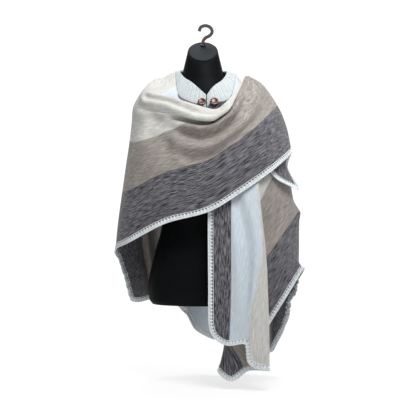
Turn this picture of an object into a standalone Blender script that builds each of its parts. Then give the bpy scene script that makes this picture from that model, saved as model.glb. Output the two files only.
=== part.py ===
"""Open-fronted Andean poncho, its right front thrown over the left shoulder, on a hanging dress form.

Metres, +Z up, +X to the wearer's left, +Y to the back. The origin is where the hook hangs.
The garment is two loom widths seamed at the centre back. Each width is a lofted cloth surface: a
table gives the place of each stripe line at a few stations along the cloth, from the front hem over
the shoulder to the back hem. All tables are in centimetres.
"""

import math

import bmesh
import bpy
import numpy as np
from mathutils import Vector
from mathutils.bvhtree import BVHTree

CM = 0.01
WALL = 0.0025  # cloth
GAP = 0.0004  # between pieces that touch
PER_LINE = 2  # steps between two of a width's lines
PER_STATION = 3  # steps between two of its stations
SMOOTH_ANGLE = math.radians(40)
NEAR_EDGE = (0.0, 0.2, 0.5)  # places of the steps next to an edge
SEAM_GAP = 0.0006
CORNER = 6.0  # radius of the cloth's free corners, in cm
CORNER_REACH = 16.0  # how far along the cloth a rounded corner is felt, in cm

EDGING_WIDTH = 0.013
EDGING_WALL = 0.0038
EDGING_GAP = 0.0012
EDGING_TIP = 0.001  # how far the strip's rounded edge stands out

COLLAR_WALL = 0.0045
COLLAR_RIBS = 54
RIB_RISE = 0.0012
COLLAR_BULGE = 1.3  # thickness half way up, where the band is fullest
# Outline of the band's section: share of its width up, half thicknesses outwards, 1 where ribs rise.
COLLAR_OUTLINE = (
    (0.0, -0.3, 0),
    (0.3, -1.0, 0),
    (1.0, -0.8, 0),
    (1.0, 0.8, 0),
    (0.8, 1.0, 1),
    (0.5, COLLAR_BULGE, 1),
    (0.2, 1.0, 1),
    (0.0, 0.3, 0),
)

BUTTON_RADIUS = 0.0125
BUTTON_HEIGHT = 0.0048
BUTTON_SIDES = 20
# The turned button from its underside up and into its dish: shares of its radius and of its height.
BUTTON_PROFILE = ((0.75, 0.0), (1.0, 0.4), (1.0, 0.7), (0.91, 1.0), (0.776, 0.95), (0.62, 0.65))
# Place of each button: along the collar, the share of its width up from the lower edge, and how far it sinks
# where the band is thinner.
BUTTON_RIGHT = (-0.96, 0.2, 0.0)
BUTTON_LEFT = (0.912, 0.0, 0.0008)

HOOK_WIDTH = 0.010
HOOK_WALL = 0.005
STUD_RADIUS = 0.009
STUD_HEIGHT = 0.006
STUD_SIDES = 16
HOOK_STEPS = 4  # steps between two points of the hook's centre line

PLATE_WALL = 0.003
# The neck plate's rings: distance inside the neck's edge in cm, share of the plate's thickness up.
PLATE_RINGS = ((0.5, 0.0), (0.5, 0.7), (0.6, 1.0))

# Laying one sheet over another: where outwards starts to rise, how far a sheet may be carried, and
# the distance kept between the middles of two walls, of a wall and the form, and of a wall and a band.
RISE_FROM = -0.40
REACH = 0.05
OVER_CLOTH = 0.0065
OVER_FORM = 0.002
OVER_EDGING = 0.005
SEAM_REACH = 16.0  # cm from the seam over which the left width is drawn to it

# Cloth that shows on each width: distance in cm from the opening edge of each named line.
RIGHT_LINES = {
    "opening": 0.0,
    "dark_line": 5.6,
    "tuck": 12.0,
    "roll_top": 20.0,
    "roll_low": 27.5,
    "under_roll": 31.0,
    "cream_line": 34.0,
    "taupe_mid": 41.0,
    "taupe_line": 48.5,
    "dark_mid": 56.5,
    "side": 64.5,
}
# Each station: distance in cm from the front hem, then x, y, z of every line above.
RIGHT_STATIONS = {
    "front hem": (0, (16, 3.2, -21.2), (15, 3.2, -20.3), (13.4, 3.2, -19.2), (12.1, 3.2, -17),
                  (12.8, 3.4, -16.2), (13.4, 3.4, -16.3), (14, 3.4, -16.6), (18.6, 3.2, -20),
                  (21.8, 1, -28.4), (20, -10, -44.3), (28.2, -2.9, -50)),
    "under arm": (9, (16.3, 1.4, -21), (15.2, 1.4, -20.1), (13.6, 1.4, -19), (12.1, 1.4, -16.7),
                  (12.8, 1.6, -15.9), (13.4, 1.6, -16), (14, 1.6, -16.2), (18.2, 1.3, -19),
                  (21.9, 0.9, -26.2), (22.6, -3.8, -36.5), (25.3, -0.8, -43.5)),
    "arm fold": (16.8, (16.5, 0.3, -21), (15.2, 0.3, -20), (13.6, 0.3, -18.8), (12.1, 0.3, -16.6),
                 (12.6, 0.3, -15.8), (13.2, 0.3, -15.8), (13.8, 0.3, -16), (17.9, 0.4, -18.8),
                 (22.1, 0.4, -25.3), (24.2, 0.4, -31.9), (25.7, 0.5, -39.1)),
    "left arm": (19.2, (16.5, -0.3, -21), (15.2, -0.3, -20), (13.6, -0.3, -18.8), (12.1, -0.3, -16.6),
                 (12.5, -0.3, -15.7), (13, -0.3, -15.7), (13.6, -0.3, -15.8), (17.9, -0.2, -18.5),
                 (22.3, -0.4, -24.6), (25, -0.6, -30.8), (26.6, -0.8, -38.2)),
    "left shoulder": (28.5, (12.6, -7.6, -23.4), (11.9, -7.6, -22.8), (10.9, -7.7, -22.1), (9.8, -8.1, -20.3),
                      (10.7, -9.1, -21), (11.5, -8.4, -21.4), (12.4, -8.6, -21.7), (15.4, -8.6, -24.5),
                      (18.8, -8.6, -28.6), (21.4, -8.6, -34.4), (23.2, -8.6, -41.4)),
    "left chest": (38, (6.8, -13, -29.7), (7, -13.4, -28.9), (7.2, -13.8, -27.8), (6.6, -14.9, -24.9),
                   (7.8, -16.4, -26.9), (8.6, -15, -27.5), (9.4, -15.2, -28.1), (11.2, -15.6, -31.1),
                   (13.6, -15.4, -33.6), (15.6, -15.4, -39.3), (17.4, -15.2, -45.8)),
    "roll": (44, (2.8, -13.5, -28.6), (3.2, -13.9, -29), (3.6, -14.5, -29.1), (3.8, -15.7, -27.2),
             (4.6, -17.5, -29.2), (5.2, -15.7, -29.8), (5.4, -15.9, -30.6), (6.3, -16.5, -34.4),
             (7.6, -16.3, -38.1), (8.6, -16.7, -44.5), (9.7, -16.7, -51.1)),
    "centre": (50, (0.1, -13.8, -26.7), (0, -14, -28), (0.3, -14, -29.3), (0.6, -15.4, -27),
               (0.9, -17.5, -30.4), (0.9, -15.3, -31), (0.6, -15.6, -32.1), (0.6, -16.6, -37),
               (0.9, -16.3, -42.3), (0.9, -17, -49.4), (1, -17, -56.3)),
    "right chest": (63, (-6.1, -11.5, -24.1), (-6.8, -12.2, -24.8), (-7.1, -12.6, -26.7),
                    (-8, -13.8, -24.3), (-9.7, -16, -28.8), (-10, -14.3, -30.1), (-10.3, -14.8, -32.7),
                    (-10.9, -15.8, -39.1), (-11.4, -15.8, -45.8), (-11.7, -16.2, -53.2), (-12, -15.5, -59.9)),
    "right front": (75, (-8.2, -8.5, -21.6), (-9.2, -9.3, -21.5), (-12, -9.8, -21.7), (-17.5, -9, -21.5),
                    (-19.1, -11, -27.1), (-19.7, -9.5, -30.3), (-20.4, -10, -35.9), (-21.1, -10.8, -42.9),
                    (-21.8, -11, -50.6), (-22.6, -10.5, -58.2), (-23.1, -10, -65.7)),
    "right arm": (85, (-9.2, -1.8, -14.8), (-10.7, -0.8, -14.9), (-13, 0, -16), (-16.5, 0, -17.2),
                  (-22, 0, -24.1), (-22.8, 0, -31), (-23.3, 0, -36.2), (-24.4, 0, -43.4),
                  (-25.5, 0, -51.6), (-26.7, 0, -59.5), (-27.6, 0, -68.2)),
    "right back": (94, (-8.7, 6.5, -15.9), (-10.3, 7.2, -16.4), (-12.9, 7.6, -17.8), (-16.8, 7.6, -20.5),
                   (-20.8, 7, -27), (-21.6, 6.8, -32.5), (-22.2, 6.6, -37.5), (-23.2, 6.2, -45),
                   (-24.2, 5.5, -53.5), (-25.3, 4.5, -61.5), (-26.6, 2.2, -71.5)),
    "nape": (104, (0.4, 10.4, -19), (-3.5, 10.9, -20), (-8, 11, -22), (-13.5, 10.9, -26),
             (-18, 10.4, -33), (-19, 10.1, -37), (-19.8, 9.8, -41.5), (-21.2, 9, -49),
             (-22.4, 8, -57.5), (-23.8, 6.6, -65), (-25.9, 3.4, -74)),
    "back": (120, (2.7, 12.8, -41), (-1.8, 12.9, -42), (-6.5, 13.8, -43.5), (-11.5, 12.7, -46.5),
             (-15.8, 12.8, -51.5), (-17, 12.7, -54.5), (-17.8, 12.1, -57.5), (-19.3, 10.5, -62.5),
             (-20.3, 10.7, -67.5), (-22.2, 8, -72.5), (-24.9, 4.8, -77.2)),
    "low back": (145, (5.9, 14.4, -71), (1.4, 14.2, -72), (-3, 15.9, -72.8), (-8, 13.9, -74),
                 (-12.3, 14.8, -75.8), (-14, 15, -76.6), (-15, 14.4, -77.2), (-16.8, 12.2, -78.3),
                 (-18.2, 13.1, -79.2), (-20.8, 9.7, -80.6), (-23.9, 6.6, -81.6)),
    "back hem": (170, (8.1, 15.8, -98.2), (2.8, 15, -98), (-2.6, 17.1, -95.4), (-6.2, 14, -89.5),
                 (-9.2, 15.1, -86.6), (-11, 15.6, -85.6), (-12.4, 15, -85.2), (-15, 12.2, -84.8),
                 (-17.2, 13.8, -84.8), (-20.2, 10, -85.2), (-23, 8.2, -85.6)),
}

LEFT_LINES = {
    "opening": 0.0,
    "dark_line": 5.6,
    "white_line": 16.0,
    "cream_in": 17.5,
    "fold_a": 22.0,
    "cream_line": 34.0,
    "taupe_line": 48.5,
    "dark_dip": 51.5,
    "fold_b": 55.0,
    "side": 64.5,
}
LEFT_STATIONS = {
    "front hem": (0, (2.1, -15, -95.9), (7.1, -15.5, -95.8), (12.7, -16.5, -95.7), (13.6, -16.8, -101.3),
                  (18.8, -16.5, -102.9), (15.2, -13, -103.5), (11.9, -12.8, -104), (7.7, -12.6, -106.8),
                  (4.4, -10.4, -103.9), (11.8, -7.2, -102)),
    "above hem": (8, (2.1, -15, -87.9), (7.5, -15.5, -88.5), (13.2, -16.7, -88.3), (14.1, -17, -92.1),
                  (18.8, -16.8, -93.6), (13.1, -13.6, -94.7), (6.3, -12.5, -92.1), (6.2, -11.1, -91.6),
                  (8.4, -9.5, -91.5), (17.4, -7.6, -92.9)),
    "low front": (18, (2.1, -15.2, -78.5), (7.7, -15.7, -78.8), (15, -17, -79.2), (16, -17.2, -80),
                  (18.3, -16.6, -81.6), (10.4, -13.2, -84.6), (11.4, -10.6, -81.6), (13.8, -10.2, -81.8),
                  (16.5, -9.8, -81.9), (24.3, -6, -82.2)),
    "front": (30, (2, -15.2, -66.7), (7.7, -15.5, -67), (16.7, -16.8, -67.5), (17.3, -16.6, -68.1),
              (17.5, -15.6, -69.3), (11.3, -12, -68.3), (20.2, -9, -68.7), (22, -8, -70),
              (24, -6.5, -71.2), (29.6, -0.5, -74.7)),
    "waist": (45, (2, -14.2, -53.1), (7.7, -14.3, -51.7), (15.2, -15.6, -50.8), (15.8, -15.3, -50.8),
              (16, -14.2, -50.8), (17.6, -12.6, -51.7), (28.7, -0.5, -57.6), (28.9, 0.5, -60.9),
              (29, 1.2, -65), (29.3, 2.4, -77)),
    "chest": (58, (1.8, -13.2, -39.5), (7.3, -13, -38.5), (13.7, -12.4, -38), (14.8, -12, -38),
              (18, -9.8, -38.8), (24.3, -0.6, -41.5), (28.4, 2.2, -59), (28.6, 2.8, -62.3),
              (28.7, 3.4, -66.3), (29, 3.7, -78.4)),
    "collar end": (70, (0.7, -12.9, -26.6), (7.2, -12, -28.8), (13.2, -11, -30.5), (14.2, -10.6, -30.8),
                   (18.4, -7.8, -31.7), (23.8, 2, -41.8), (27.4, 4.8, -65), (27.6, 5.3, -68),
                   (27.8, 5.4, -71.5), (28.7, 4.6, -79.8)),
    "left front": (77, (7.2, -11, -23.9), (10.7, -9.8, -24.5), (17.2, -6, -25.8), (18.2, -5.3, -26.3),
                   (21, -2.2, -29.4), (23.8, 3.4, -42.5), (27.1, 6, -68), (27.3, 6.3, -71),
                   (27.5, 6.4, -74.2), (28.5, 5.2, -80.8)),
    "shoulder": (85, (9.7, -0.8, -15.6), (11.8, -0.6, -18.2), (19, 0, -25), (19.8, 0.3, -26),
                 (21.8, 1.5, -29.5), (24.3, 5, -43.8), (26.8, 7.2, -71), (27, 7.3, -74),
                 (27.1, 7.3, -77), (28.3, 5.7, -81.8)),
    "left back": (94, (9, 6.8, -16.8), (11.9, 7.5, -18.8), (18.2, 7.8, -25), (19, 7.8, -26.2),
                  (21, 7.9, -31), (23.8, 8.3, -48), (26.3, 8.6, -75), (26.5, 8.6, -77.5),
                  (26.6, 8.4, -79.8), (28.1, 6.3, -83)),
    "nape": (104, (0.5, 10.4, -19), (6, 10.8, -21), (14.5, 10.8, -30), (15.5, 10.8, -32),
             (18.3, 10.8, -38), (22.9, 10.2, -55), (25.6, 9.8, -80), (25.9, 9.7, -81.8),
             (26.1, 9.5, -82.8), (27.3, 7.1, -84.2)),
    "back": (120, (2.8, 12.8, -41), (7.5, 13.4, -43), (15, 12.3, -50), (16, 12.2, -52),
             (18.6, 12.5, -58), (22.2, 10.9, -71), (25, 10.9, -86), (25.3, 10.7, -86.9),
             (25.3, 10, -86.6), (26.5, 8.3, -86.0)),
    "low back": (145, (6, 14.4, -71), (10, 15.3, -73), (15.6, 13.2, -78), (16.6, 13.1, -79.5),
                 (18.8, 14, -83), (20.6, 11.8, -87), (22.4, 12.3, -89.3), (23.1, 11.8, -89.8),
                 (24.4, 10.5, -89.9), (26.3, 8.6, -88.1)),
    "back hem": (170, (8.2, 15.8, -98.2), (12.4, 16.4, -99.2), (16.6, 13.5, -102.4), (17.4, 13.4, -102.8),
                 (18.4, 14.7, -103.3), (19.7, 12.4, -103), (21.3, 13.1, -101.8), (22.2, 12.7, -100),
                 (24, 11.1, -96), (25.9, 9.6, -91)),
}

# The collar's upper edge: place along the collar (-1 right end, 0 nape, 1 left end), then x, y, z in cm.
COLLAR_TOP = (
    (-1.00, (0.2, -11.6, -22.6)),
    (-0.90, (-1.7, -10.3, -20.7)),
    (-0.80, (-4.0, -8.3, -18.5)),
    (-0.60, (-6.29, -4.61, -16.59)),
    (-0.40, (-7.6, -0.6, -14.3)),
    (-0.20, (-5.7, 5.6, -13.2)),
    (0.00, (-0.4, 7.6, -12.6)),
    (0.25, (4.8, 5.6, -13.2)),
    (0.50, (6.6, -0.8, -14.4)),
    (0.75, (5.2, -6.6, -17.6)),
    (0.90, (2.5, -9.9, -20.0)),
    (1.00, (0.6, -11.6, -22.6)),
)
RIGHT_NECK = (50.0, 104.0)  # cm along the cloth: collar's end, nape
LEFT_NECK = (70.0, 104.0)
HEM_BREAK = (45.0, 56.5)  # cm across the right width: between these its front hem is bare, inside the fold
EDGING_START = 38.0  # cm along the right width: there its opening edge leaves the roll
SEAM_STATIONS = ("nape", "back", "low back", "back hem")
FOLD_REACH = 3.0  # cm on both sides of a fold where the layers meet
ARM_FOLD = 18.0  # cm along the right width: nearer its front hem it is turned under
TUCK = 12.0  # cm from the right width's opening edge: nearer the edge it lies inside the roll
ROLL = 22.0  # cm from there: farther from the edge it lies outside
CROSSED = 48.0  # cm along the right width: nearer its front hem it lies across the left one
SKIRT = 52.0  # cm along the left width: nearer its front hem it hangs free

# The form, from the neck down: height, half width and half depth, in cm.
FORM_RINGS = (
    (-15.2, 6.5, 6.0),
    (-17.1, 8.1, 6.3),
    (-18.9, 10.7, 6.9),
    (-21.3, 13.9, 7.5),
    (-24.6, 16.4, 8.2),
    (-28.0, 17.6, 9.3),
    (-33.0, 17.2, 10.6),
    (-40.0, 15.8, 11.2),
    (-50.0, 13.8, 9.8),
    (-61.0, 12.6, 9.0),
    (-70.0, 14.8, 10.0),
    (-79.0, 16.8, 10.6),
    (-84.5, 16.6, 10.4),
    (-86.0, 15.6, 9.6),
)
FORM_SIDE = -0.7  # x of the form's middle, in cm
NECK_TOP = (-8.0, 4.7, 4.5)  # centre height, half width, half depth
NECK_FALL = 3.8  # how far the neck's slanted top falls from its centre to its front
NECK_STEPS = (0.25, 0.5, 0.75)  # rings between the neck's top and the first ring

# The hook's centre line, x and z in cm.
HOOK_LINE = ((-0.6, -5.2), (-0.6, -4.2), (0.2, -3.2), (1.5, -2.5), (2.2, -1.3),
             (1.6, 0.0), (0.2, 0.55), (-1.3, 0.1), (-1.9, -1.2))
HOOK_DEPTH = 2.2  # y of the hook, in cm

COLOURS = {
    "wool": ((0.42, 0.40, 0.39), 0.0, 0.95),
    "crochet": ((0.80, 0.83, 0.83), 0.0, 0.95),
    "knit": ((0.82, 0.85, 0.86), 0.0, 0.95),
    "horn": ((0.17, 0.06, 0.03), 0.0, 0.25),
    "plastic": ((0.008, 0.009, 0.01), 0.0, 0.2),
    "plate": ((0.03, 0.035, 0.04), 0.0, 0.3),
    "metal": ((0.02, 0.02, 0.02), 0.6, 0.35),
}


def material(name):
    """The Principled material of this name, made once."""
    if name in bpy.data.materials:
        return bpy.data.materials[name]
    colour, metallic, roughness = COLOURS[name]
    made = bpy.data.materials.new(name)
    made.use_nodes = True
    shader = made.node_tree.nodes["Principled BSDF"]
    shader.inputs["Base Color"].default_value = (*colour, 1.0)
    shader.inputs["Metallic"].default_value = metallic
    shader.inputs["Roughness"].default_value = roughness
    return made


def add_object(name, bm, finish):
    """Make an object of a bmesh, shaded smooth up to a set angle."""
    mesh = bpy.data.meshes.new(name)
    bm.to_mesh(mesh)
    bm.free()
    mesh.materials.append(material(finish))
    mesh.shade_smooth()
    mesh.set_sharp_from_angle(angle=SMOOTH_ANGLE)
    made = bpy.data.objects.new(name, mesh)
    bpy.context.scene.collection.objects.link(made)
    return made


def loft(name, rings, finish):
    """A closed solid through rings of equally many points, its two ends filled."""
    rings = np.asarray(rings)
    count, around = rings.shape[:2]
    bm = bmesh.new()
    bmesh.ops.create_grid(bm, x_segments=around, y_segments=count - 1, size=1.0)
    bm.verts.ensure_lookup_table()
    for index, vert in enumerate(bm.verts):
        row, column = divmod(index, around + 1)
        vert.co = rings[row, column % around]
    bmesh.ops.remove_doubles(bm, verts=bm.verts, dist=1e-6)
    bmesh.ops.holes_fill(bm, edges=bm.edges, sides=0)
    bmesh.ops.recalc_face_normals(bm, faces=bm.faces)
    return add_object(name, bm, finish)


def blend_matrix(knots, at):
    """Weights that read a smooth curve through values at knots, at the places asked for."""
    knots, at = np.asarray(knots, float), np.asarray(at, float)
    count = len(knots)
    slopes = np.zeros((count, count))
    for i in range(count):
        low, high = max(i - 1, 0), min(i + 1, count - 1)
        slopes[i, high] += 1 / (knots[high] - knots[low])
        slopes[i, low] -= 1 / (knots[high] - knots[low])
    span = np.clip(np.searchsorted(knots, at, side="right") - 1, 0, count - 2)
    width = knots[span + 1] - knots[span]
    t = (at - knots[span]) / width
    rows = np.arange(len(at))
    matrix = np.zeros((len(at), count))
    matrix[rows, span] += 2 * t**3 - 3 * t**2 + 1
    matrix[rows, span + 1] += 3 * t**2 - 2 * t**3
    matrix += ((t**3 - 2 * t**2 + t) * width)[:, None] * slopes[span]
    matrix += ((t**3 - t**2) * width)[:, None] * slopes[span + 1]
    return matrix


class Cloth:
    """One loom width: a smooth surface through the places of its lines at its stations."""

    def __init__(self, lines, stations, rounded):
        self.across = np.array(list(lines.values()))
        self.along = np.array([row[0] for row in stations.values()], float)
        self.points = np.array([row[1:] for row in stations.values()], float)
        steps = np.linalg.norm(np.diff(self.points, axis=1), axis=2).mean(axis=0)
        self.knots = np.concatenate([[0], np.cumsum(np.sqrt(steps))])
        steps = np.linalg.norm(np.diff(self.points, axis=0), axis=2).mean(axis=1)
        self.rows = np.concatenate([[0], np.cumsum(np.sqrt(steps))])
        self.rounded = rounded

    def trim(self, u, v):
        """Move rows near a rounded corner inwards, so that the hem follows an arc there."""
        length, width = self.along[-1], self.across[-1]
        moved = v.copy()
        for side, end in self.rounded:
            from_edge = u if side == "opening" else width - u
            inside = np.clip(CORNER - from_edge, 0, CORNER)
            rise = CORNER - np.sqrt(CORNER**2 - inside**2)
            from_end = v if end == "front" else length - v
            push = rise * np.clip(1 - from_end / CORNER_REACH, 0, 1)
            moved = moved + push if end == "front" else moved - push
        return moved

    def place(self, u, v):
        """Points in metres at u across and v along the cloth, both grids in cm."""
        shape = u.shape
        v = self.trim(u, v)
        tu = blend_matrix(self.knots, np.interp(u.ravel(), self.across, self.knots))
        tv = blend_matrix(self.rows, np.interp(v.ravel(), self.along, self.rows))
        points = np.einsum("pr,pc,rcx->px", tv, tu, self.points)
        return points.reshape(*shape, 3) * CM

    def samples(self):
        """Grid of u and v, closer together towards the edges of the cloth."""
        first, last = self.across[:2], self.across[-2:][::-1]
        u = [low + (high - low) * share for low, high, share in ((*first, e) for e in NEAR_EDGE)]
        for low, high in zip(self.across[1:-2], self.across[2:-1]):
            u += [low + (high - low) * step / PER_LINE for step in range(PER_LINE)]
        u += [self.across[-2]]
        u += [last[0] + (last[1] - last[0]) * share for share in NEAR_EDGE[::-1]]
        v = []
        for low, high in zip(self.along[:-1], self.along[1:]):
            v += [low + (high - low) * step / PER_STATION for step in range(PER_STATION)]
        v += [self.along[-1]]
        return np.meshgrid(u, v)


def unit(vectors):
    """The same directions with length 1."""
    return vectors / np.maximum(np.linalg.norm(vectors, axis=-1, keepdims=True), 1e-9)


def normals_of(grid):
    """Unit normals of a grid of points, facing out of the garment."""
    return unit(np.cross(np.gradient(grid, axis=1), np.gradient(grid, axis=0)))


def away(points):
    """Directions out of the garment: level below the chest, rising over the shoulders."""
    centre = np.zeros_like(points)
    centre[..., 2] = np.minimum(points[..., 2], RISE_FROM)
    return unit(points - centre)


def faces_of(shape):
    """The four-sided faces of a grid with this many rows and columns."""
    rows, columns = shape
    index = np.arange(rows * columns).reshape(rows, columns)
    corners = (index[:-1, :-1], index[:-1, 1:], index[1:, 1:], index[1:, :-1])
    return np.stack([corner.ravel() for corner in corners], axis=1).tolist()


def tree_of(grid):
    """A searchable copy of a grid's surface."""
    return BVHTree.FromPolygons(grid.reshape(-1, 3).tolist(), faces_of(grid.shape[:2]))


def solid_tree(made):
    """A searchable copy of an object's surface."""
    mesh = made.data
    corners = [vert.co for vert in mesh.vertices]
    return BVHTree.FromPolygons(corners, [face.vertices for face in mesh.polygons])


def halved(points):
    """A grid, or a line, of points with one more point midway between each two."""
    for axis in range(points.ndim - 1):
        points = np.moveaxis(points, axis, 0)
        fine = np.repeat(points, 2, axis=0)[:-1]
        fine[1::2] = (points[:-1] + points[1:]) / 2
        points = np.moveaxis(fine, 0, axis)
    return points


def most_near(push):
    """For every second sample, the most of it and the samples next to it."""
    for axis in range(push.ndim):
        push = np.moveaxis(push, axis, 0)
        most = push.copy()
        most[1:] = np.maximum(most[1:], push[:-1])
        most[:-1] = np.maximum(most[:-1], push[1:])
        push = np.moveaxis(most[::2], 0, axis)
    return push


def lay_over(points, chosen, under, clearance):
    """Chosen points of a grid carried outwards, where needed, to clear the surfaces under them."""
    fine = halved(points)
    direction = away(fine)
    push = np.zeros(fine.shape[:-1])
    near = halved(chosen[..., None].astype(float))[..., 0] > 0.4
    for place in zip(*np.nonzero(near)):
        start = fine[place] + direction[place] * REACH
        for tree in under:
            inwards = Vector(-direction[place])
            hit, _, _, distance = tree.ray_cast(Vector(start), inwards, REACH + clearance)
            if hit is not None:
                push[place] = max(push[place], REACH + clearance - distance)
    return points + away(points) * (most_near(push) * chosen)[..., None]


def close_seam(left, right, u):
    """Draw the left width to the right one, so that the two meet along the centre back."""
    count = len(SEAM_STATIONS) * PER_STATION - PER_STATION + 1
    across = unit((left[-count:, 3] - left[-count:, 0]) - (right[-count:, 3] - right[-count:, 0]))
    shift = right[-count:, 0] + across * SEAM_GAP - left[-count:, 0]
    weight = np.clip(1 - u[0] / SEAM_REACH, 0, 1) ** 2
    left = left.copy()
    left[-count:] += shift[:, None] * weight[None, :, None]
    return left


def cloth_sheet(name, grid):
    """The width's wall: a grid moved onto the cloth's surface and thickened by a Solidify."""
    rows, columns = grid.shape[:2]
    bm = bmesh.new()
    bmesh.ops.create_grid(bm, x_segments=columns - 1, y_segments=rows - 1, size=1.0)
    for vert, point in zip(bm.verts, grid.reshape(-1, 3)):
        vert.co = point
    made = add_object(name, bm, "wool")
    solidify = made.modifiers.new("wall", "SOLIDIFY")
    solidify.thickness = WALL
    solidify.offset = 0.0
    return made


def border_path(u, v, neck_end):
    """Row and column of the free border: from the collar down the opening, round the hems to the seam."""
    rows, columns = u.shape
    start = int(np.argmin(np.abs(v[:, 0] - neck_end))) - 1
    opening = [(r, 0) for r in range(start, 0, -1)]
    front = [(0, c) for c in range(columns)]
    side = [(r, columns - 1) for r in range(1, rows - 1)]
    back = [(rows - 1, c) for c in range(columns - 1, -1, -1)]
    return opening + front + side + back


def edging_strip(grid, path, under):
    """Middle of the crocheted border, its near and far edge, that follows the cloth's free border."""
    normals = normals_of(grid)
    at = np.array([grid[r, c] for r, c in path])
    up = np.array([normals[r, c] for r, c in path])
    out = unit(np.cross(np.gradient(at, axis=0), up))
    for _ in range(2):
        out[1:-1] = unit(out[:-2] + 2 * out[1:-1] + out[2:])
    if path[-1][1] == 0:
        out[-1] = unit(grid[-1, 0] - grid[-2, 0])
        out[-2] = unit(out[-3] + 2 * out[-1])
        at[-1] += unit(at[-2] - at[-1]) * EDGING_GAP
    far = lay_over(at + out * EDGING_WIDTH, np.full(len(at), True), under, OVER_EDGING)
    out = unit(far - at)
    turned = np.abs(np.sum(out * up, axis=1, keepdims=True))
    return np.stack([at + out * (EDGING_GAP + turned * WALL), far], axis=1)


def edging(name, strip):
    """Crocheted border: a thick strip just clear of the cloth, its far edge rounded."""
    near, far = strip[:, 0], strip[:, 1]
    out = unit(far - near)
    half = unit(np.cross(out, np.gradient(near, axis=0))) * EDGING_WALL / 2
    tip = far + out * EDGING_TIP
    rings = np.stack([near - half * 0.4, far - half, tip, far + half, near + half * 0.4], axis=1)
    return loft(name, rings, "crochet")


def ellipse(centre, half_width, half_depth, fall=0.0, steps=32):
    """Points of an ellipse in metres, its front lowered by fall; all sizes in cm."""
    turn = np.linspace(0, 2 * math.pi, steps, endpoint=False)
    x, y, z = centre
    return CM * np.stack(
        [x + half_width * np.cos(turn), y + half_depth * np.sin(turn), z + fall * np.sin(turn)], axis=1
    )


def torso():
    """The form: a limbless hollow shape made whole, from its slanted neck down to the hips."""
    height, half_width, half_depth = NECK_TOP
    rings = [ellipse((FORM_SIDE, 0, height), half_width, half_depth, NECK_FALL)]
    low, wide, deep = FORM_RINGS[0]
    for part in NECK_STEPS:
        rings.append(
            ellipse(
                (FORM_SIDE, 0, height + (low - height) * part),
                half_width + (wide - half_width) * part,
                half_depth + (deep - half_depth) * part,
                NECK_FALL * (1 - part),
            )
        )
    rings += [ellipse((FORM_SIDE, 0, z), wide, deep) for z, wide, deep in FORM_RINGS]
    return loft("form_torso", rings, "plastic")


def neck_plate():
    """The plate that closes the neck, lying on its slanted top."""
    height, half_width, half_depth = NECK_TOP
    up = unit(np.array([0.0, -NECK_FALL, half_depth]))
    rings = []
    for inset, rise in PLATE_RINGS:
        shrink = 1 - inset / half_width
        centre = (FORM_SIDE, 0, height)
        ring = ellipse(centre, half_width * shrink, half_depth * shrink, NECK_FALL * shrink)
        rings.append(ring + up * (GAP + PLATE_WALL * rise))
    return loft("neck_plate", rings, "plate")


def hook():
    """The hook, cut from plate, on a stud that stands on the neck plate."""
    line = np.array(HOOK_LINE) * CM
    fine = blend_matrix(np.arange(len(line)), np.linspace(0, len(line) - 1, HOOK_STEPS * len(line))) @ line
    across = unit(np.gradient(fine, axis=0)) @ np.array([[0, 1], [-1, 0]])
    rings = []
    for (x, z), (ax, az) in zip(fine, across):
        ax, az = ax * HOOK_WIDTH / 2, az * HOOK_WIDTH / 2
        front, back = HOOK_DEPTH * CM - HOOK_WALL / 2, HOOK_DEPTH * CM + HOOK_WALL / 2
        low, high = (x - ax, z - az), (x + ax, z + az)
        corners = ((low, front), (high, front), (high, back), (low, back))
        rings.append([(place[0], y, place[1]) for place, y in corners])
    made = loft("hook", rings, "metal")
    height, _, half_depth = NECK_TOP
    up = unit(np.array([0.0, -NECK_FALL, half_depth]))
    foot = np.array([HOOK_LINE[0][0], HOOK_DEPTH, height + NECK_FALL * HOOK_DEPTH / half_depth]) * CM
    side, fore = np.array([1.0, 0, 0]), np.cross(up, [1.0, 0, 0])
    turn = np.linspace(0, 2 * math.pi, STUD_SIDES, endpoint=False)
    circle = STUD_RADIUS * (np.cos(turn)[:, None] * side + np.sin(turn)[:, None] * fore)
    low = 2 * GAP + PLATE_WALL
    stud = loft("hook_stud", [foot + circle + up * low, foot + circle + up * (low + STUD_HEIGHT)], "metal")
    stud.hide_render = True
    stud.display_type = "WIRE"
    joined = made.modifiers.new("stud", "BOOLEAN")
    joined.operation = "UNION"
    joined.object = stud
    return made


def collar_rings(right, left):
    """Lower and upper edge of the band's middle surface, and its outward normal, right end to left end.

    right and left are the neck edges of the two widths, each from the collar's end to the nape.
    """
    t = np.linspace(-1, 1, 2 * COLLAR_RIBS + 1)
    edge = np.empty((len(t), 3))
    for neck, half in ((right, t < 0), (left, t >= 0)):
        at = np.linspace(1, 0, len(neck))
        edge[half] = np.stack([np.interp(np.abs(t[half]), at[::-1], neck[::-1, k]) for k in range(3)], axis=1)
    upper = blend_matrix([row[0] for row in COLLAR_TOP], t) @ np.array([row[1] for row in COLLAR_TOP]) * CM
    run = unit(np.gradient(edge, axis=0))
    rise = upper - edge
    rise -= run * np.sum(rise * run, axis=1, keepdims=True)
    lower = edge + unit(rise) * (WALL / 2 + 2 * GAP)
    normal = unit(np.cross(upper - lower, np.gradient(lower + upper, axis=0)))
    return lower, upper, normal


def collar_solid(rings):
    """The band as one solid, its ribs raised on the outer side only."""
    lower, upper, normal = rings
    rib = normal * RIB_RISE * (np.arange(len(lower)) % 2)[:, None]
    half = normal * COLLAR_WALL / 2
    rise = upper - lower
    outline = [lower + rise * up + half * out + rib * ribbed for up, out, ribbed in COLLAR_OUTLINE]
    return loft("collar", np.stack(outline, axis=1), "knit")


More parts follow.
